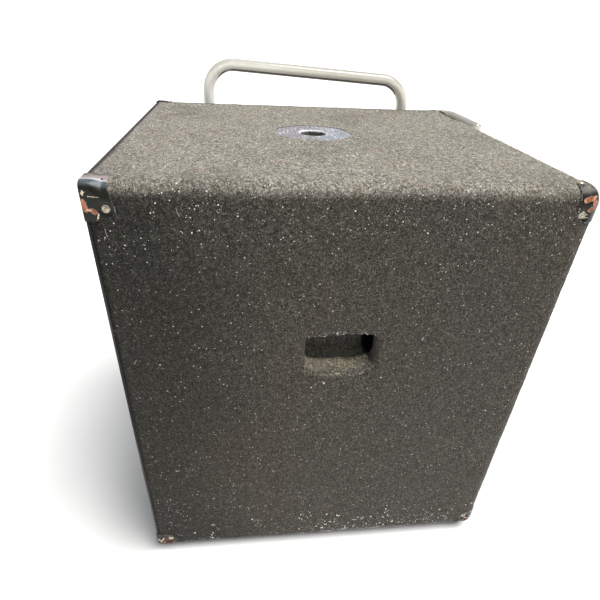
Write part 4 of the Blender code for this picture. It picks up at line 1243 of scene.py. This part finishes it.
def wear_patches(name, sx, sy, sz, rng):
    """Rusty patches and pale marks on a protector, each as (start, end, reach)."""
    corner = corner_at(sx, FOLD_Y if sy < 0 else HIGH.y, sz)

    def side_spot(inward, drop):
        """A place on the side flap, from how far it is from the front and from the top or bottom."""
        power = 2.0
        if sy < 0 < sz:
            power = SHARP + (2.0 - SHARP) * smooth(inward / STRAP, 0.0, 0.8)
        above = max(0.0, EDGE - drop) / EDGE
        turned_in = EDGE * (1 - (1 - above**power) ** (1 / power))
        return corner + Vector((sx * (PROUD - turned_in), -sy * inward, -sz * drop))

    if name == "corner_front_top_right":
        rusty = [((0.0022, 0.0180), (0.0042, 0.0262), 0.0050), ((0.0092, 0.0272), (0.0120, 0.0287), 0.0044)]
        pale = [((0.0048, 0.0260), (0.0088, 0.0270), 0.0014), ((0.0080, 0.0132), (0.0176, 0.0142), 0.0008)]
        pale += [((0.0040, 0.0080), (0.0036, 0.0120), 0.0015), ((0.0026, 0.0104), (0.0054, 0.0094), 0.0013)]
        pale += [((0.0150, 0.0305), (0.0135, 0.0350), 0.0014), ((0.0120, 0.0375), (0.0125, 0.0378), 0.0018)]
    elif name == "corner_front_bottom_right":
        rusty = [((0.0040, 0.0060), (0.0130, 0.0180), 0.0120), ((0.0170, 0.0100), (0.0210, 0.0200), 0.0110)]
        pale = [((0.0025, 0.0270), (0.0070, 0.0205), 0.0022), ((0.0070, 0.0205), (0.0115, 0.0285), 0.0020)]
        pale += [((0.0090, 0.0160), (0.0125, 0.0180), 0.0018), ((0.0200, 0.0330), (0.0215, 0.0340), 0.0014)]
    elif name == "corner_rear_bottom_right":
        rusty = [((0.0060, 0.0060), (0.0160, 0.0180), 0.0110)]
        pale = [((0.0080, 0.0200), (0.0180, 0.0240), 0.0022)]
    else:
        rusty, pale = [], []
        for _ in range(rng.randint(3, 5)):
            inward, drop = rng.uniform(0.002, 0.022), rng.uniform(0.004, 0.032)
            end = (inward + rng.uniform(0.001, 0.005), drop + 0.002)
            rusty.append(((inward, drop), end, rng.uniform(0.003, 0.008)))
        for _ in range(4):
            inward, drop = rng.uniform(0.002, 0.018), rng.uniform(0.004, 0.032)
            end = (inward + rng.uniform(0.003, 0.010), drop + rng.uniform(-0.003, 0.003))
            pale.append(((inward, drop), end, 0.0012))
    return [[(side_spot(*a), side_spot(*b), reach) for a, b, reach in group] for group in (rusty, pale)]


CROSS_WIDTH, CROSS_REACH = 0.14, 0.42  # half the recess's arms, as shares of the head's radius


def screw_shape(radius, height, steps=20, rings=8):
    """A domed cross-head screw about the origin, facing +Z."""
    vertices, faces = [Vector((0, 0, height * 0.45))], []
    for k in range(1, rings + 1):
        share = k / rings
        for i in range(steps):
            turn = math.tau * i / steps
            x, y = share * math.cos(turn), share * math.sin(turn)
            z = height * math.sqrt(max(0.0, 1 - share * share * 0.98))
            if min(abs(x), abs(y)) < CROSS_WIDTH and max(abs(x), abs(y)) < CROSS_REACH:
                z -= height * 0.2
            vertices.append(Vector((x * radius, y * radius, z)))
    for i in range(steps):
        faces.append([0, 1 + i, 1 + (i + 1) % steps])
    for k in range(rings - 1):
        for i in range(steps):
            a, b = 1 + k * steps + i, 1 + k * steps + (i + 1) % steps
            faces.append([a, a + steps, b + steps, b])
    skirt = len(vertices)
    last = 1 + (rings - 1) * steps
    for i in range(steps):
        v = vertices[last + i]
        vertices.append(Vector((v.x, v.y, -height * 0.4)))
    for i in range(steps):
        j = (i + 1) % steps
        faces.append([last + i, skirt + i, skirt + j, last + j])
    faces.append([skirt + i for i in reversed(range(steps))])
    return vertices, faces


# radius and height of each kind of screw
SCREWS = {
    "corner": (0.0042, 0.0015),
    "pole_plate": (0.0034, 0.0013),
    "clamp": (0.0026, 0.0014),
    "stay": (0.0030, 0.0016),
    "grille": (0.0038, 0.0012),
    "dish": (0.0034, 0.0015),
}


def add_screw(bm, kind, spot, way, turn):
    vertices, faces = screw_shape(*SCREWS[kind])
    frame_turn = UP.rotation_difference(way).to_matrix() @ Matrix.Rotation(turn, 3, "Z")
    add_shape(bm, [spot + frame_turn @ v for v in vertices], faces)


def make_corners():
    rng = random.Random(WEAR_SEED)
    screws = bmesh.new()
    for name, sx, sy, sz in corner_signs():
        make = front_protector if sy < 0 else rear_protector
        for spot, way in make(name, sx, sz, rng):
            seat = spot - way * (DIMPLE_DEPTH + 0.0001)
            add_screw(screws, "corner", seat, way, rng.uniform(0, math.pi))
    piece("corner_screws", outward(screws), "screw_steel", "motor_steel")
    make_pin_holes()


def make_pin_holes():
    """A small black pin on top of each front protector, where its second screw would go."""
    profile = [(0.0, 0.0004), (0.0009, 0.0003), (0.0013, -0.0001), (0.0013, -0.002), (0.0, -0.002)]
    bm = bmesh.new()
    for _, sx, sy, sz in corner_signs():
        if sy < 0:
            spot, way = edge_point(sx, sz, 0.0070, PROUD)
            spot.y = FRONT + 0.0165
            add_shape(bm, *turned(profile, spot, way, 16))
    piece("corner_pins", outward(bm), "rubber", "protector_steel")


# ---------------------------------------------------------------- pole socket
def make_pole_socket():
    """A steel plate let into the top, with a closed tube below its bore, and four screws."""
    bore, top, lip_radius = POLE_BORE, -0.0006, 0.0022
    depth = POLE_HIGH.z - POLE_LOW.z
    rim = POLE_PLATE - 0.0002
    lip = [
        (bore + lip_radius * (1 - math.sin(t)), top - lip_radius * (1 - math.cos(t)))
        for t in (0, 0.4, 0.8, 1.2, math.pi / 2)
    ]
    profile = [(rim, top - 0.0022), (rim, top - 0.0006), (POLE_PLATE - 0.0010, top)]
    profile += [(0.050, top), (0.036, top), (0.026, top), (0.0235, top), *lip]
    profile += [(bore, height) for height in (-0.0036, -0.020, -0.045, -depth + 0.003)]
    profile += [(0.0, -depth + 0.003), (0.0, -depth)]
    profile += [(bore + 0.0028, height) for height in (-depth, -0.010, top - 0.0022)]
    profile.append(profile[0])
    bm = shape_from(*turned(profile, POLE, UP, 96))
    rim_layer, deep_layer = float_layers(bm, "rim", "deep")
    for vert in bm.verts:
        reach = math.hypot(vert.co.x - POLE.x, vert.co.y - POLE.y)
        bore_ring = 1 - abs(reach - POLE_BORE - 0.0012) / 0.0048
        # wear round the bore, and a painted highlight along the plate's outer edge
        vert[rim_layer] = max(0.0, bore_ring, 0.62 - (POLE_PLATE - reach) / 0.006)
        # how far into the bore, where painted shade darkens it
        vert[deep_layer] = smooth(POLE.z - vert.co.z, 0.0025, 0.0040)
    piece("pole_plate", outward(bm), "plate_steel", "plate_steel", "pole_socket")
    bm = bmesh.new()
    for turn in (88, 178, 268, 358):
        angle = math.radians(turn)
        spot = POLE + Vector((math.cos(angle) * 0.0430, math.sin(angle) * 0.0430, top))
        add_screw(bm, "pole_plate", spot, UP, angle)
    piece("pole_plate_screws", outward(bm), "screw_steel", "motor_steel")


# ---------------------------------------------------------------- handle
BAR_DROP = 0.0192  # the leaning bar is this much lower at its rear corner
BEND, STAY_BEND = 0.046, 0.030


def make_handle():
    front, rear = TUBE_LOW.y + TUBE, TUBE_HIGH.y - TUBE
    slope = math.atan2(BAR_DROP, rear - front)
    high = TUBE_HIGH.z - TUBE / math.cos(slope)
    high += BEND * math.tan(slope) * math.tan(math.pi / 4 - slope / 2)
    corners = [
        Vector((TUBE_X, front, TUBE_LOW.z)),
        Vector((TUBE_X, front, high)),
        Vector((TUBE_X, rear, high - BAR_DROP)),
        Vector((TUBE_X, rear, TUBE_LOW.z)),
    ]
    path = bent(corners, BEND, 18)
    bm = shape_from(*swept(path, circle(TUBE, 28), LEFT))
    piece("handle_loop", outward(bm), "handle_paint", "handle_paint", "handle_tube")
    stay_low, stay_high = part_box("handle_stay")
    stay_y = stay_high.y - TUBE
    start_z, end_z = stay_low.z + TUBE, stay_high.z - TUBE
    corners = [
        Vector((TUBE_X, stay_low.y, start_z)),
        Vector((TUBE_X, stay_y, end_z)),
        Vector((stay_high.x, stay_y, end_z)),
    ]
    bm = shape_from(*swept(bent(corners, STAY_BEND), circle(TUBE, 28), LEFT))
    piece("handle_stay_tube", outward(bm), "handle_paint", "handle_paint", "handle_stay")
    cap_low, cap_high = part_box("stay_cap")
    seat = Vector((cap_low.x, stay_y, end_z))
    reach = cap_high.x - cap_low.x
    turns = [math.pi / 2 * i / 8 for i in range(9)]
    dome = [(TUBE * 0.98 * math.cos(t), reach * math.sin(t)) for t in turns]
    profile, paint = [(0.0, 0.0), *dome], "handle_paint"
    turned_piece("stay_end_cap", profile, seat, RIGHT, paint, paint, "stay_cap", steps=28)


def strap(bm, centre, out, side, along, radius, stand, flange, width, thick):
    """A saddle strap over a tube: flange, up, round the tube, down, flange. The argument along is not used.
    """
    reach = radius + thick / 2 + 0.0001
    path = [centre - out * stand - side * flange, centre - out * stand - side * (reach + 0.003)]
    path.append(centre - out * (stand - 0.0025) - side * reach)
    for i in range(13):
        turn = math.pi * i / 12
        path.append(centre + out * (math.sin(turn) * reach) - side * (math.cos(turn) * reach))
    path.append(centre - out * (stand - 0.0025) + side * reach)
    path += [centre - out * stand + side * (reach + 0.003), centre - out * stand + side * flange]
    half, deep = width / 2, thick / 2
    section = [(-deep, -half), (deep, -half), (deep, half), (-deep, half)]
    add_shape(bm, *swept(path, section, out))


def make_clamps():
    """Each clamp: a saddle strap over the tube, a spacer behind it and two screws."""
    for height in ("lower", "upper"):
        for end in ("front", "rear"):
            name = f"handle_clamp_{end}_{height}"
            low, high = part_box(name)
            centre = Vector((TUBE_X, (low.y + high.y) / 2, (low.z + high.z) / 2))
            stand = high.x - TUBE_X - 0.0012
            bm = bmesh.new()
            strap(bm, centre, LEFT, BACK, UP, TUBE, stand, 0.0175, high.z - low.z, 0.0018)
            obj = piece(name + "_strap", outward(bm), "clamp_steel", "clamp_steel", name)
            edge = obj.modifiers.new("edge", "BEVEL")
            edge.width, edge.segments = 0.0005, 2
            bm = bmesh.new()
            soft_box(
                bm,
                (TUBE_X + TUBE + 0.0003, centre.y - 0.0088, low.z + 0.001),
                (high.x - 0.0004, centre.y + 0.0088, high.z - 0.001),
                0.0010,
            )
            for side in (-1, 1):
                spot = Vector((high.x - 0.0021, centre.y + side * 0.0148, centre.z))
                add_screw(bm, "clamp", spot, LEFT, 0.4 + side)
            piece(name + "_fixings", outward(bm), "clamp_steel", "clamp_steel")
    low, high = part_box("stay_clamp")
    stay_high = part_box("handle_stay")[1]
    centre = Vector(((low.x + high.x) / 2, stay_high.y - TUBE, high.z - TUBE - 0.002))
    bm = bmesh.new()
    reach = TUBE + 0.0011
    y = low.y + 0.0011
    path = [Vector((centre.x, y, low.z)), Vector((centre.x, y, centre.z - reach + 0.001))]
    for i in range(13):
        turn = math.radians(-60 + 240 * i / 12)
        path.append(centre + BACK * (math.cos(turn) * reach) + UP * (math.sin(turn) * reach))
    section = [(-0.0009, -0.010), (0.0009, -0.010), (0.0009, 0.010), (-0.0009, 0.010)]
    add_shape(bm, *swept(path, section, BACK))
    add_screw(bm, "stay", Vector((centre.x, low.y + 0.0020, low.z + 0.0045)), BACK, 0.7)
    piece("stay_clip", outward(bm), "handle_paint", "handle_paint", "stay_clamp")


# ---------------------------------------------------------------- grille
HOLE_PITCH, HOLE_RADIUS = 0.0080, 0.0028
BORDER = 0.012
NOTCH_X, NOTCH_Z, NOTCH_LIP = 0.0286, 0.0386, 0.0126


def in_notch(x, z, spare=0.0):
    """True where a protector's L-shaped fold takes the grille's corner."""
    dx, dz = min(x - LOW.x, HIGH.x - x), min(z - LOW.z, HIGH.z - z)
    upright = dx < NOTCH_LIP + spare and dz < NOTCH_Z + spare
    level = dz < NOTCH_LIP + spare and dx < NOTCH_X + spare
    return upright or level


def make_grille_field(name, first, last):
    """A strip of perforated steel: staggered round holes, each in its own six-sided cell."""
    bm = bmesh.new()
    face, thick = GRILLE_LOW.y + 0.0004, 0.0009
    rise = HOLE_PITCH * math.sqrt(3) / 2
    columns = int((HIGH.x - LOW.x - 2 * BORDER) / HOLE_PITCH)
    rows = int((HIGH.z - LOW.z - 2 * BORDER) / rise)
    start_x = CENTRE_X - (columns - 0.5) * HOLE_PITCH / 2
    start_z = (LOW.z + HIGH.z) / 2 - (rows - 1) * rise / 2
    cell = HOLE_PITCH / math.sqrt(3)
    for row in range(rows):
        if not first <= row / rows < last:
            continue
        z = start_z + row * rise
        for column in range(columns):
            x = start_x + (column + 0.5 * (row % 2)) * HOLE_PITCH
            if in_notch(x, z, 0.003):
                continue
            outer, inner, back = [], [], []
            for k in range(6):
                turn = math.radians(30 + 60 * k)
                outer.append(bm.verts.new((x + cell * math.cos(turn), face, z + cell * math.sin(turn))))
            for k in range(12):
                turn = math.radians(30 * k)
                px, pz = x + HOLE_RADIUS * math.cos(turn), z + HOLE_RADIUS * math.sin(turn)
                inner.append(bm.verts.new((px, face, pz)))
                back.append(bm.verts.new((px, face + thick, pz)))
            for k in range(6):
                corner, following = outer[k], outer[(k + 1) % 6]
                a, b, c = inner[(2 * k + 1) % 12], inner[(2 * k + 2) % 12], inner[(2 * k + 3) % 12]
                bm.faces.new([corner, b, a])
                bm.faces.new([corner, following, b])
                bm.faces.new([following, c, b])
            ring_faces(bm, inner, back)
    bmesh.ops.remove_doubles(bm, verts=bm.verts, dist=1e-5)
    piece(name, bm, "grille_steel", "grille_steel", "grille", smooth=False)


def notched(margin, step):
    """The grille's outline: margin inside the plain edges, and step inside the notches."""
    wide, tall, lip = NOTCH_X + step, NOTCH_Z + step, NOTCH_LIP + step
    reaches = [(margin, tall), (lip, tall), (lip, lip), (wide, lip), (wide, margin)]
    outline = []
    for sx, sz in ((1, 1), (-1, 1), (-1, -1), (1, -1)):
        plain = corner_at(sx, 0, sz)
        corner = [(plain.x - sx * a, plain.z - sz * b) for a, b in reaches]
        outline += corner if sx == sz else corner[::-1]
    return outline


def make_grille_rim():
    """The grille's plain border and its folded edge, notched round the corner protectors."""
    outline, inner = notched(0.0007, 0.0), notched(BORDER + 0.004, 0.0045)
    bm = bmesh.new()
    face, back = GRILLE_LOW.y, GRILLE_HIGH.y
    outer_ring = [bm.verts.new((x, face, z)) for x, z in outline]
    inner_ring = [bm.verts.new((x, face, z)) for x, z in inner]
    fold_ring = [bm.verts.new((x, back, z)) for x, z in outline]
    count = len(outline)
    for k in range(count):
        m = (k + 1) % count
        bm.faces.new([outer_ring[k], outer_ring[m], inner_ring[m], inner_ring[k]])
        bm.faces.new([outer_ring[k], fold_ring[k], fold_ring[m], outer_ring[m]])
    face_outwards(bm, lambda faces: min(faces, key=lambda f: f.calc_center_median().y), FORE)
    obj = piece("grille_frame", bm, "grille_steel", "grille_steel", "grille", smooth=False)
    thick = obj.modifiers.new("steel", "SOLIDIFY")
    thick.thickness, thick.offset = 0.0008, -1.0
    edge = obj.modifiers.new("edge", "BEVEL")
    edge.width, edge.segments = 0.0003, 2
    bm = bmesh.new()
    for sx in (-1, 1):
        for share in (0.16, 0.39, 0.61, 0.84):
            x = corner_at(sx, 0, 1).x - sx * 0.0078
            z = LOW.z + (HIGH.z - LOW.z) * share
            add_screw(bm, "grille", Vector((x, face + 0.0012, z)), FORE, share * 9)
    piece("grille_screws", outward(bm), "clamp_steel", "clamp_steel")


def make_foam():
    low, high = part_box("grille_foam")
    bm = bmesh.new()
    soft_box(bm, (low.x, low.y + 0.0004, low.z), high, 0.0022, 3)
    obj = piece("grille_foam_sheet", outward(bm), "foam", "foam", "grille_foam")


# ---------------------------------------------------------------- rear plate
def make_connector_plate():
    """A dished plate with rounded lips, six screws and two round sockets in its floor."""
    face = PLATE_HIGH.y
    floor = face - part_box("input_socket_left")[1].y + 0.0012
    rings = [
        (0.0746, 0.0546, 14.0, 0.0030),
        (0.0750, 0.0550, 14.0, 0.0018),
        (0.0744, 0.0544, 14.0, 0.0004),
        (0.0730, 0.0530, 14.0, 0.0),
        (0.0600, 0.0400, 9.0, 0.0),
        (0.0575, 0.0375, 8.0, 0.0006),
        (0.0560, 0.0360, 7.0, 0.0026),
        (0.0545, 0.0345, 6.0, 0.0180),
        (0.0535, 0.0335, 6.0, floor - 0.0016),
        (0.0515, 0.0315, 5.5, floor - 0.0002),
        (0.0440, 0.0250, 5.0, floor),
    ]
    bm = bmesh.new()
    steps = 96
    loops = []
    for half_a, half_b, power, depth in rings:
        loop = []
        for i in range(steps):
            a, b = squircle(math.tau * (i + 0.5) / steps, half_a, half_b, power)
            loop.append(bm.verts.new((PLATE.x + a, face - depth, PLATE.z + b)))
        loops.append(loop)
    for outer, inner in zip(loops, loops[1:]):
        ring_faces(bm, outer, inner)
    edge = [bm.edges.get((loops[-1][i], loops[-1][(i + 1) % steps])) for i in range(steps)]
    for side in ("left", "right"):
        low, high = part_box(f"input_socket_{side}")
        seat, reach = (low + high) / 2, (high.x - low.x) / 2 - 0.0012
        hole = []
        for i in range(48):
            turn = math.tau * i / 48
            spot = (seat.x + math.cos(turn) * reach, face - floor, seat.z + math.sin(turn) * reach)
            hole.append(bm.verts.new(spot))
        edge += [bm.edges.new((hole[i - 1], hole[i])) for i in range(48)]
    bmesh.ops.triangle_fill(bm, use_beauty=True, edges=edge, normal=BACK)
    face_outwards(bm, lambda faces: max(faces, key=lambda f: abs(f.normal.y) * f.calc_area()), BACK)
    piece("connector_dish", bm, "black_plastic", "black_plastic", "connector_plate")
    bm = bmesh.new()
    for a in (-0.068, 0.0, 0.068):
        for b in (-0.0475, 0.0475):
            spot = Vector((PLATE.x + a, face - 0.0001, PLATE.z + b))
            add_screw(bm, "dish", spot, BACK, a * 40 + b)
    piece("connector_plate_screws", outward(bm), "clamp_steel", "clamp_steel")
    for side in ("left", "right"):
        low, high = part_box(f"input_socket_{side}")
        centre = Vector(((low.x + high.x) / 2, high.y, (low.z + high.z) / 2))
        radius = (high.x - low.x) / 2
        deep = high.y - low.y
        profile = [
            (0.0, -0.0160),
            (0.0030, -0.0160),
            (0.0034, -0.0030),
            (0.0052, -0.0026),
            (0.0060, -0.0034),
            (0.0062, -0.0160),
            (0.0098, -0.0160),
            (0.0100, -0.0012),
            (0.0106, -0.0002),
            (0.0120, 0.0),
            (radius - 0.0012, 0.0),
            (radius, -0.0010),
            (radius, -0.0022),
            (0.0118, -0.0024),
            (0.0116, -deep),
            (0.0, -deep),
        ]
        bm = shape_from(*turned(profile, centre, BACK, 48))
        for k in range(4):
            turn = math.radians(45 + 90 * k)
            key = centre + Vector((math.cos(turn) * 0.0096, -0.0040, math.sin(turn) * 0.0096))
            below, above = Vector((0.0012, 0.0040, 0.0012)), Vector((0.0012, 0.0032, 0.0012))
            soft_box(bm, key - below, key + above, 0.0003, 2)
        name = f"input_socket_{side}"
        piece(name + "_body", outward(bm), "black_plastic", "black_plastic", name)


# ---------------------------------------------------------------- feet
def make_feet():
    for end in ("front", "rear"):
        for side in ("left", "right"):
            name = f"foot_{end}_{side}"
            low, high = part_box(name)
            top = Vector(((low.x + high.x) / 2, (low.y + high.y) / 2, high.z))
            radius, height = (high.x - low.x) / 2, high.z - low.z
            profile = [
                (0.0, -0.0030),
                (0.0034, -0.0030),
                (0.0046, -0.0044),
                (0.0062, -0.0046),
                (0.0068, -height + 0.0008),
                (0.0078, -height),
                (radius - 0.0030, -height),
                (radius - 0.0016, -height + 0.0010),
                (radius, -0.0012),
                (radius - 0.0004, 0.0),
                (0.0, 0.0),
            ]
            turned_piece(name + "_rubber", profile, top, UP, "rubber", "rubber", name, steps=48)


# ---------------------------------------------------------------- inside
DRIVER = middle("cone")
SURROUND_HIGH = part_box("surround")[1]
SPIDER_LOW, SPIDER_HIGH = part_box("spider")


def between_bodies(obj):
    """Bakes the object's placement into its mesh."""
    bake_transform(obj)


SURROUND_RIM, SURROUND_NECK = 0.1843, 0.1457  # outer and inner radius of the surround
SPIDER_RIM, SPIDER_NECK, SPIDER_FLAT = 0.1013, 0.0391, 0.0905  # the ripples end at the flat


def make_suspension():
    """The half-roll surround and the corrugated spider, attached to no body."""
    centre = Vector((DRIVER.x, 0, DRIVER.z))
    seat, thick = -SURROUND_HIGH.y, 0.0009
    roll, way_out = 0.0122, 0.1625  # radius of the half roll, and of the circle it follows
    over = [math.pi * i / 20 for i in range(21)]
    top = [(way_out + roll * math.cos(a), seat + thick + roll * math.sin(a)) for a in over]
    under = [(way_out + (roll - thick) * math.cos(a), seat + (roll - thick) * math.sin(a)) for a in over]
    profile = [(SURROUND_RIM, seat), (SURROUND_RIM, seat + thick), *top]
    profile += [(SURROUND_NECK, seat + thick), (SURROUND_NECK, seat), *reversed(under), profile[0]]
    bm = shape_from(*turned(profile, centre, FORE, 96))
    obj = piece("surround_roll", outward(bm), "rubber", "rubber", "surround", body=None)
    between_bodies(obj)
    shelf, start, end = -SPIDER_HIGH.y + 0.0009, SPIDER_NECK, SPIDER_FLAT
    swing = (SPIDER_HIGH.y - SPIDER_LOW.y - 0.0022) / 2
    count = 72
    ripple = []
    for i in range(count + 1):
        share = i / count
        fade = min(1.0, share * 9, (1 - share) * 9)
        level = shelf + swing * fade * (1 - math.cos(share * math.tau * 5))
        ripple.append((start + (end - start) * share, level))
    ripple.append((SPIDER_RIM, shelf))
    upper = [(radius, level + 0.0006) for radius, level in reversed(ripple)]
    profile = [*ripple, *upper, ripple[0]]
    bm = shape_from(*turned(profile, centre, FORE, 96))
    obj = piece("spider_cloth", outward(bm), "spider_cloth", "spider_cloth", "spider", body=None)
    between_bodies(obj)


def make_wadding():
    """A crowned pad of wadding with tucked edges and lumps."""
    low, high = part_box("wadding")
    bm = bmesh.new()
    across, up = 48, 30
    centre, half = (low + high) / 2, (high - low) / 2
    layers = []
    for back in (False, True):
        grid = []
        for i in range(across + 1):
            column = []
            for j in range(up + 1):
                a, b = 2 * i / across - 1, 2 * j / up - 1
                crown = (max(0.0, 1 - a**6) * max(0.0, 1 - b**6)) ** 0.5
                x, z = centre.x + half.x * a * 0.985, centre.z + half.z * b * 0.98
                lump = 0.82 + 0.16 * noise.noise(Vector((x * 26, z * 26, 4.0)))
                y = high.y - 0.0004 if back else high.y - 0.0020 - (2 * half.y - 0.003) * crown * lump
                column.append(bm.verts.new((x, y, z)))
            grid.append(column)
        layers.append(grid)
    for grid in layers:
        grid_faces(bm, grid)
    edge_keys = [(i, 0) for i in range(across)] + [(across, j) for j in range(up)]
    edge_keys += [(i, up) for i in range(across, 0, -1)] + [(0, j) for j in range(up, 0, -1)]
    for k, (i, j) in enumerate(edge_keys):
        m, n = edge_keys[(k + 1) % len(edge_keys)]
        bm.faces.new([layers[0][i][j], layers[0][m][n], layers[1][m][n], layers[1][i][j]])
    obj = piece("wadding_pad", outward(bm), "wadding", "wadding", "wadding")


def dress_frame():
    """Every node that stays visible takes the finish of its slot in the record."""
    for part in frame["record"]["subparts"]:
        node = frame["nodes"][part["node"]]
        node.data.materials.clear()
        finish = "cup_dust_and_shade" if part["node"].startswith("hand_cup") else part["material_slot"]
        node.data.materials.append(FINISHES[finish])
        if not node.hide_render:
            node.data.shade_smooth()
            node.data.set_sharp_from_angle(angle=math.radians(35))


# ---------------------------------------------------------------- studio
def make_camera():
    data = bpy.data.cameras.new("camera")
    data.lens, data.sensor_width = 27.469, 36.0
    data.shift_x, data.shift_y = -0.00635, 0.03489
    camera = bpy.data.objects.new("camera", data)
    right, up = Vector((0.10763, 0.9931, 0.04647)), Vector((-0.55252, 0.02089, 0.83324))
    back = right.cross(up)
    turn = Matrix((right, up, back)).transposed().to_4x4()
    camera.matrix_world = Matrix.Translation((0.70245, -0.1258, 0.7465)) @ turn
    bpy.context.scene.collection.objects.link(camera)
    bpy.context.scene.camera = camera


def make_studio():
    scene = bpy.context.scene
    scene.view_settings.view_transform = "Standard"
    world = bpy.data.worlds.new("studio")
    world.use_nodes = True
    scene.world = world
    tree = world.node_tree
    ambient = tree.nodes["Background"]
    ambient.inputs["Color"].default_value = (0.96, 0.98, 1.0, 1.0)
    way_in = tree.nodes.new("ShaderNodeTexCoord")
    height = tree.nodes.new("ShaderNodeSeparateXYZ")
    rise = tree.nodes.new("ShaderNodeMapRange")
    for socket, value in (("From Min", -0.1), ("From Max", 0.95), ("To Min", 0.24), ("To Max", 0.74)):
        rise.inputs[socket].default_value = value
    tree.links.new(way_in.outputs["Generated"], height.inputs[0])
    tree.links.new(height.outputs["Z"], rise.inputs["Value"])
    tree.links.new(rise.outputs[0], ambient.inputs["Strength"])
    backdrop = tree.nodes.new("ShaderNodeBackground")
    backdrop.inputs["Strength"].default_value = 1.3
    either = tree.nodes.new("ShaderNodeMixShader")
    path = tree.nodes.new("ShaderNodeLightPath")
    tree.links.new(path.outputs["Is Camera Ray"], either.inputs[0])
    tree.links.new(ambient.outputs[0], either.inputs[1])
    tree.links.new(backdrop.outputs[0], either.inputs[2])
    tree.links.new(either.outputs[0], tree.nodes["World Output"].inputs["Surface"])
    sun = bpy.data.lights.new("soft_key", "SUN")
    sun.energy, sun.angle = 4.5, math.radians(38)
    sun.color = (1.0, 0.985, 0.955)
    key = bpy.data.objects.new("soft_key", sun)
    toward = Vector((0.20, 0.42, 1.0)).normalized()
    key.rotation_euler = toward.to_track_quat("Z", "Y").to_euler()
    scene.collection.objects.link(key)
    bm = bmesh.new()
    bmesh.ops.create_grid(bm, x_segments=4, y_segments=4, size=60.0)
    mesh = bpy.data.meshes.new("floor")
    bm.to_mesh(mesh)
    bm.free()
    f = Finish("pale_floor", Roughness=0.9, Specular_IOR_Level=0.1)
    pale = f.mix(f.grain(1.5, 2, 0.5), (0.80, 0.80, 0.80), (0.84, 0.84, 0.84))
    # painted shadow on the floor next to the grille face
    beside = f.times(f.fade(f.world(Y), FRONT - 0.16, FRONT - 0.02), f.fade(f.world(X), -0.02, 0.20))
    pale = f.mix(beside, pale, (0.80, 0.80, 0.80), "MULTIPLY")
    # painted light on the floor in front of the box, over its contact shadow
    pale = f.mix(f.fade(f.world(X), HIGH.x - 0.004, HIGH.x + 0.008), pale, (0.95, 0.95, 0.95))
    mesh.materials.append(f.done(pale))
    floor = bpy.data.objects.new("floor", mesh)
    scene.collection.objects.link(floor)


make_camera()
make_studio()
make_carpet()
make_lint()
make_fuzz()
make_corners()
make_pole_socket()
make_handle()
make_clamps()
make_grille_field("grille_mesh_lower", 0.0, 0.5)
make_grille_field("grille_mesh_upper", 0.5, 1.0)
make_grille_rim()
make_foam()
make_connector_plate()
make_feet()
make_suspension()
make_wadding()
dress_frame()
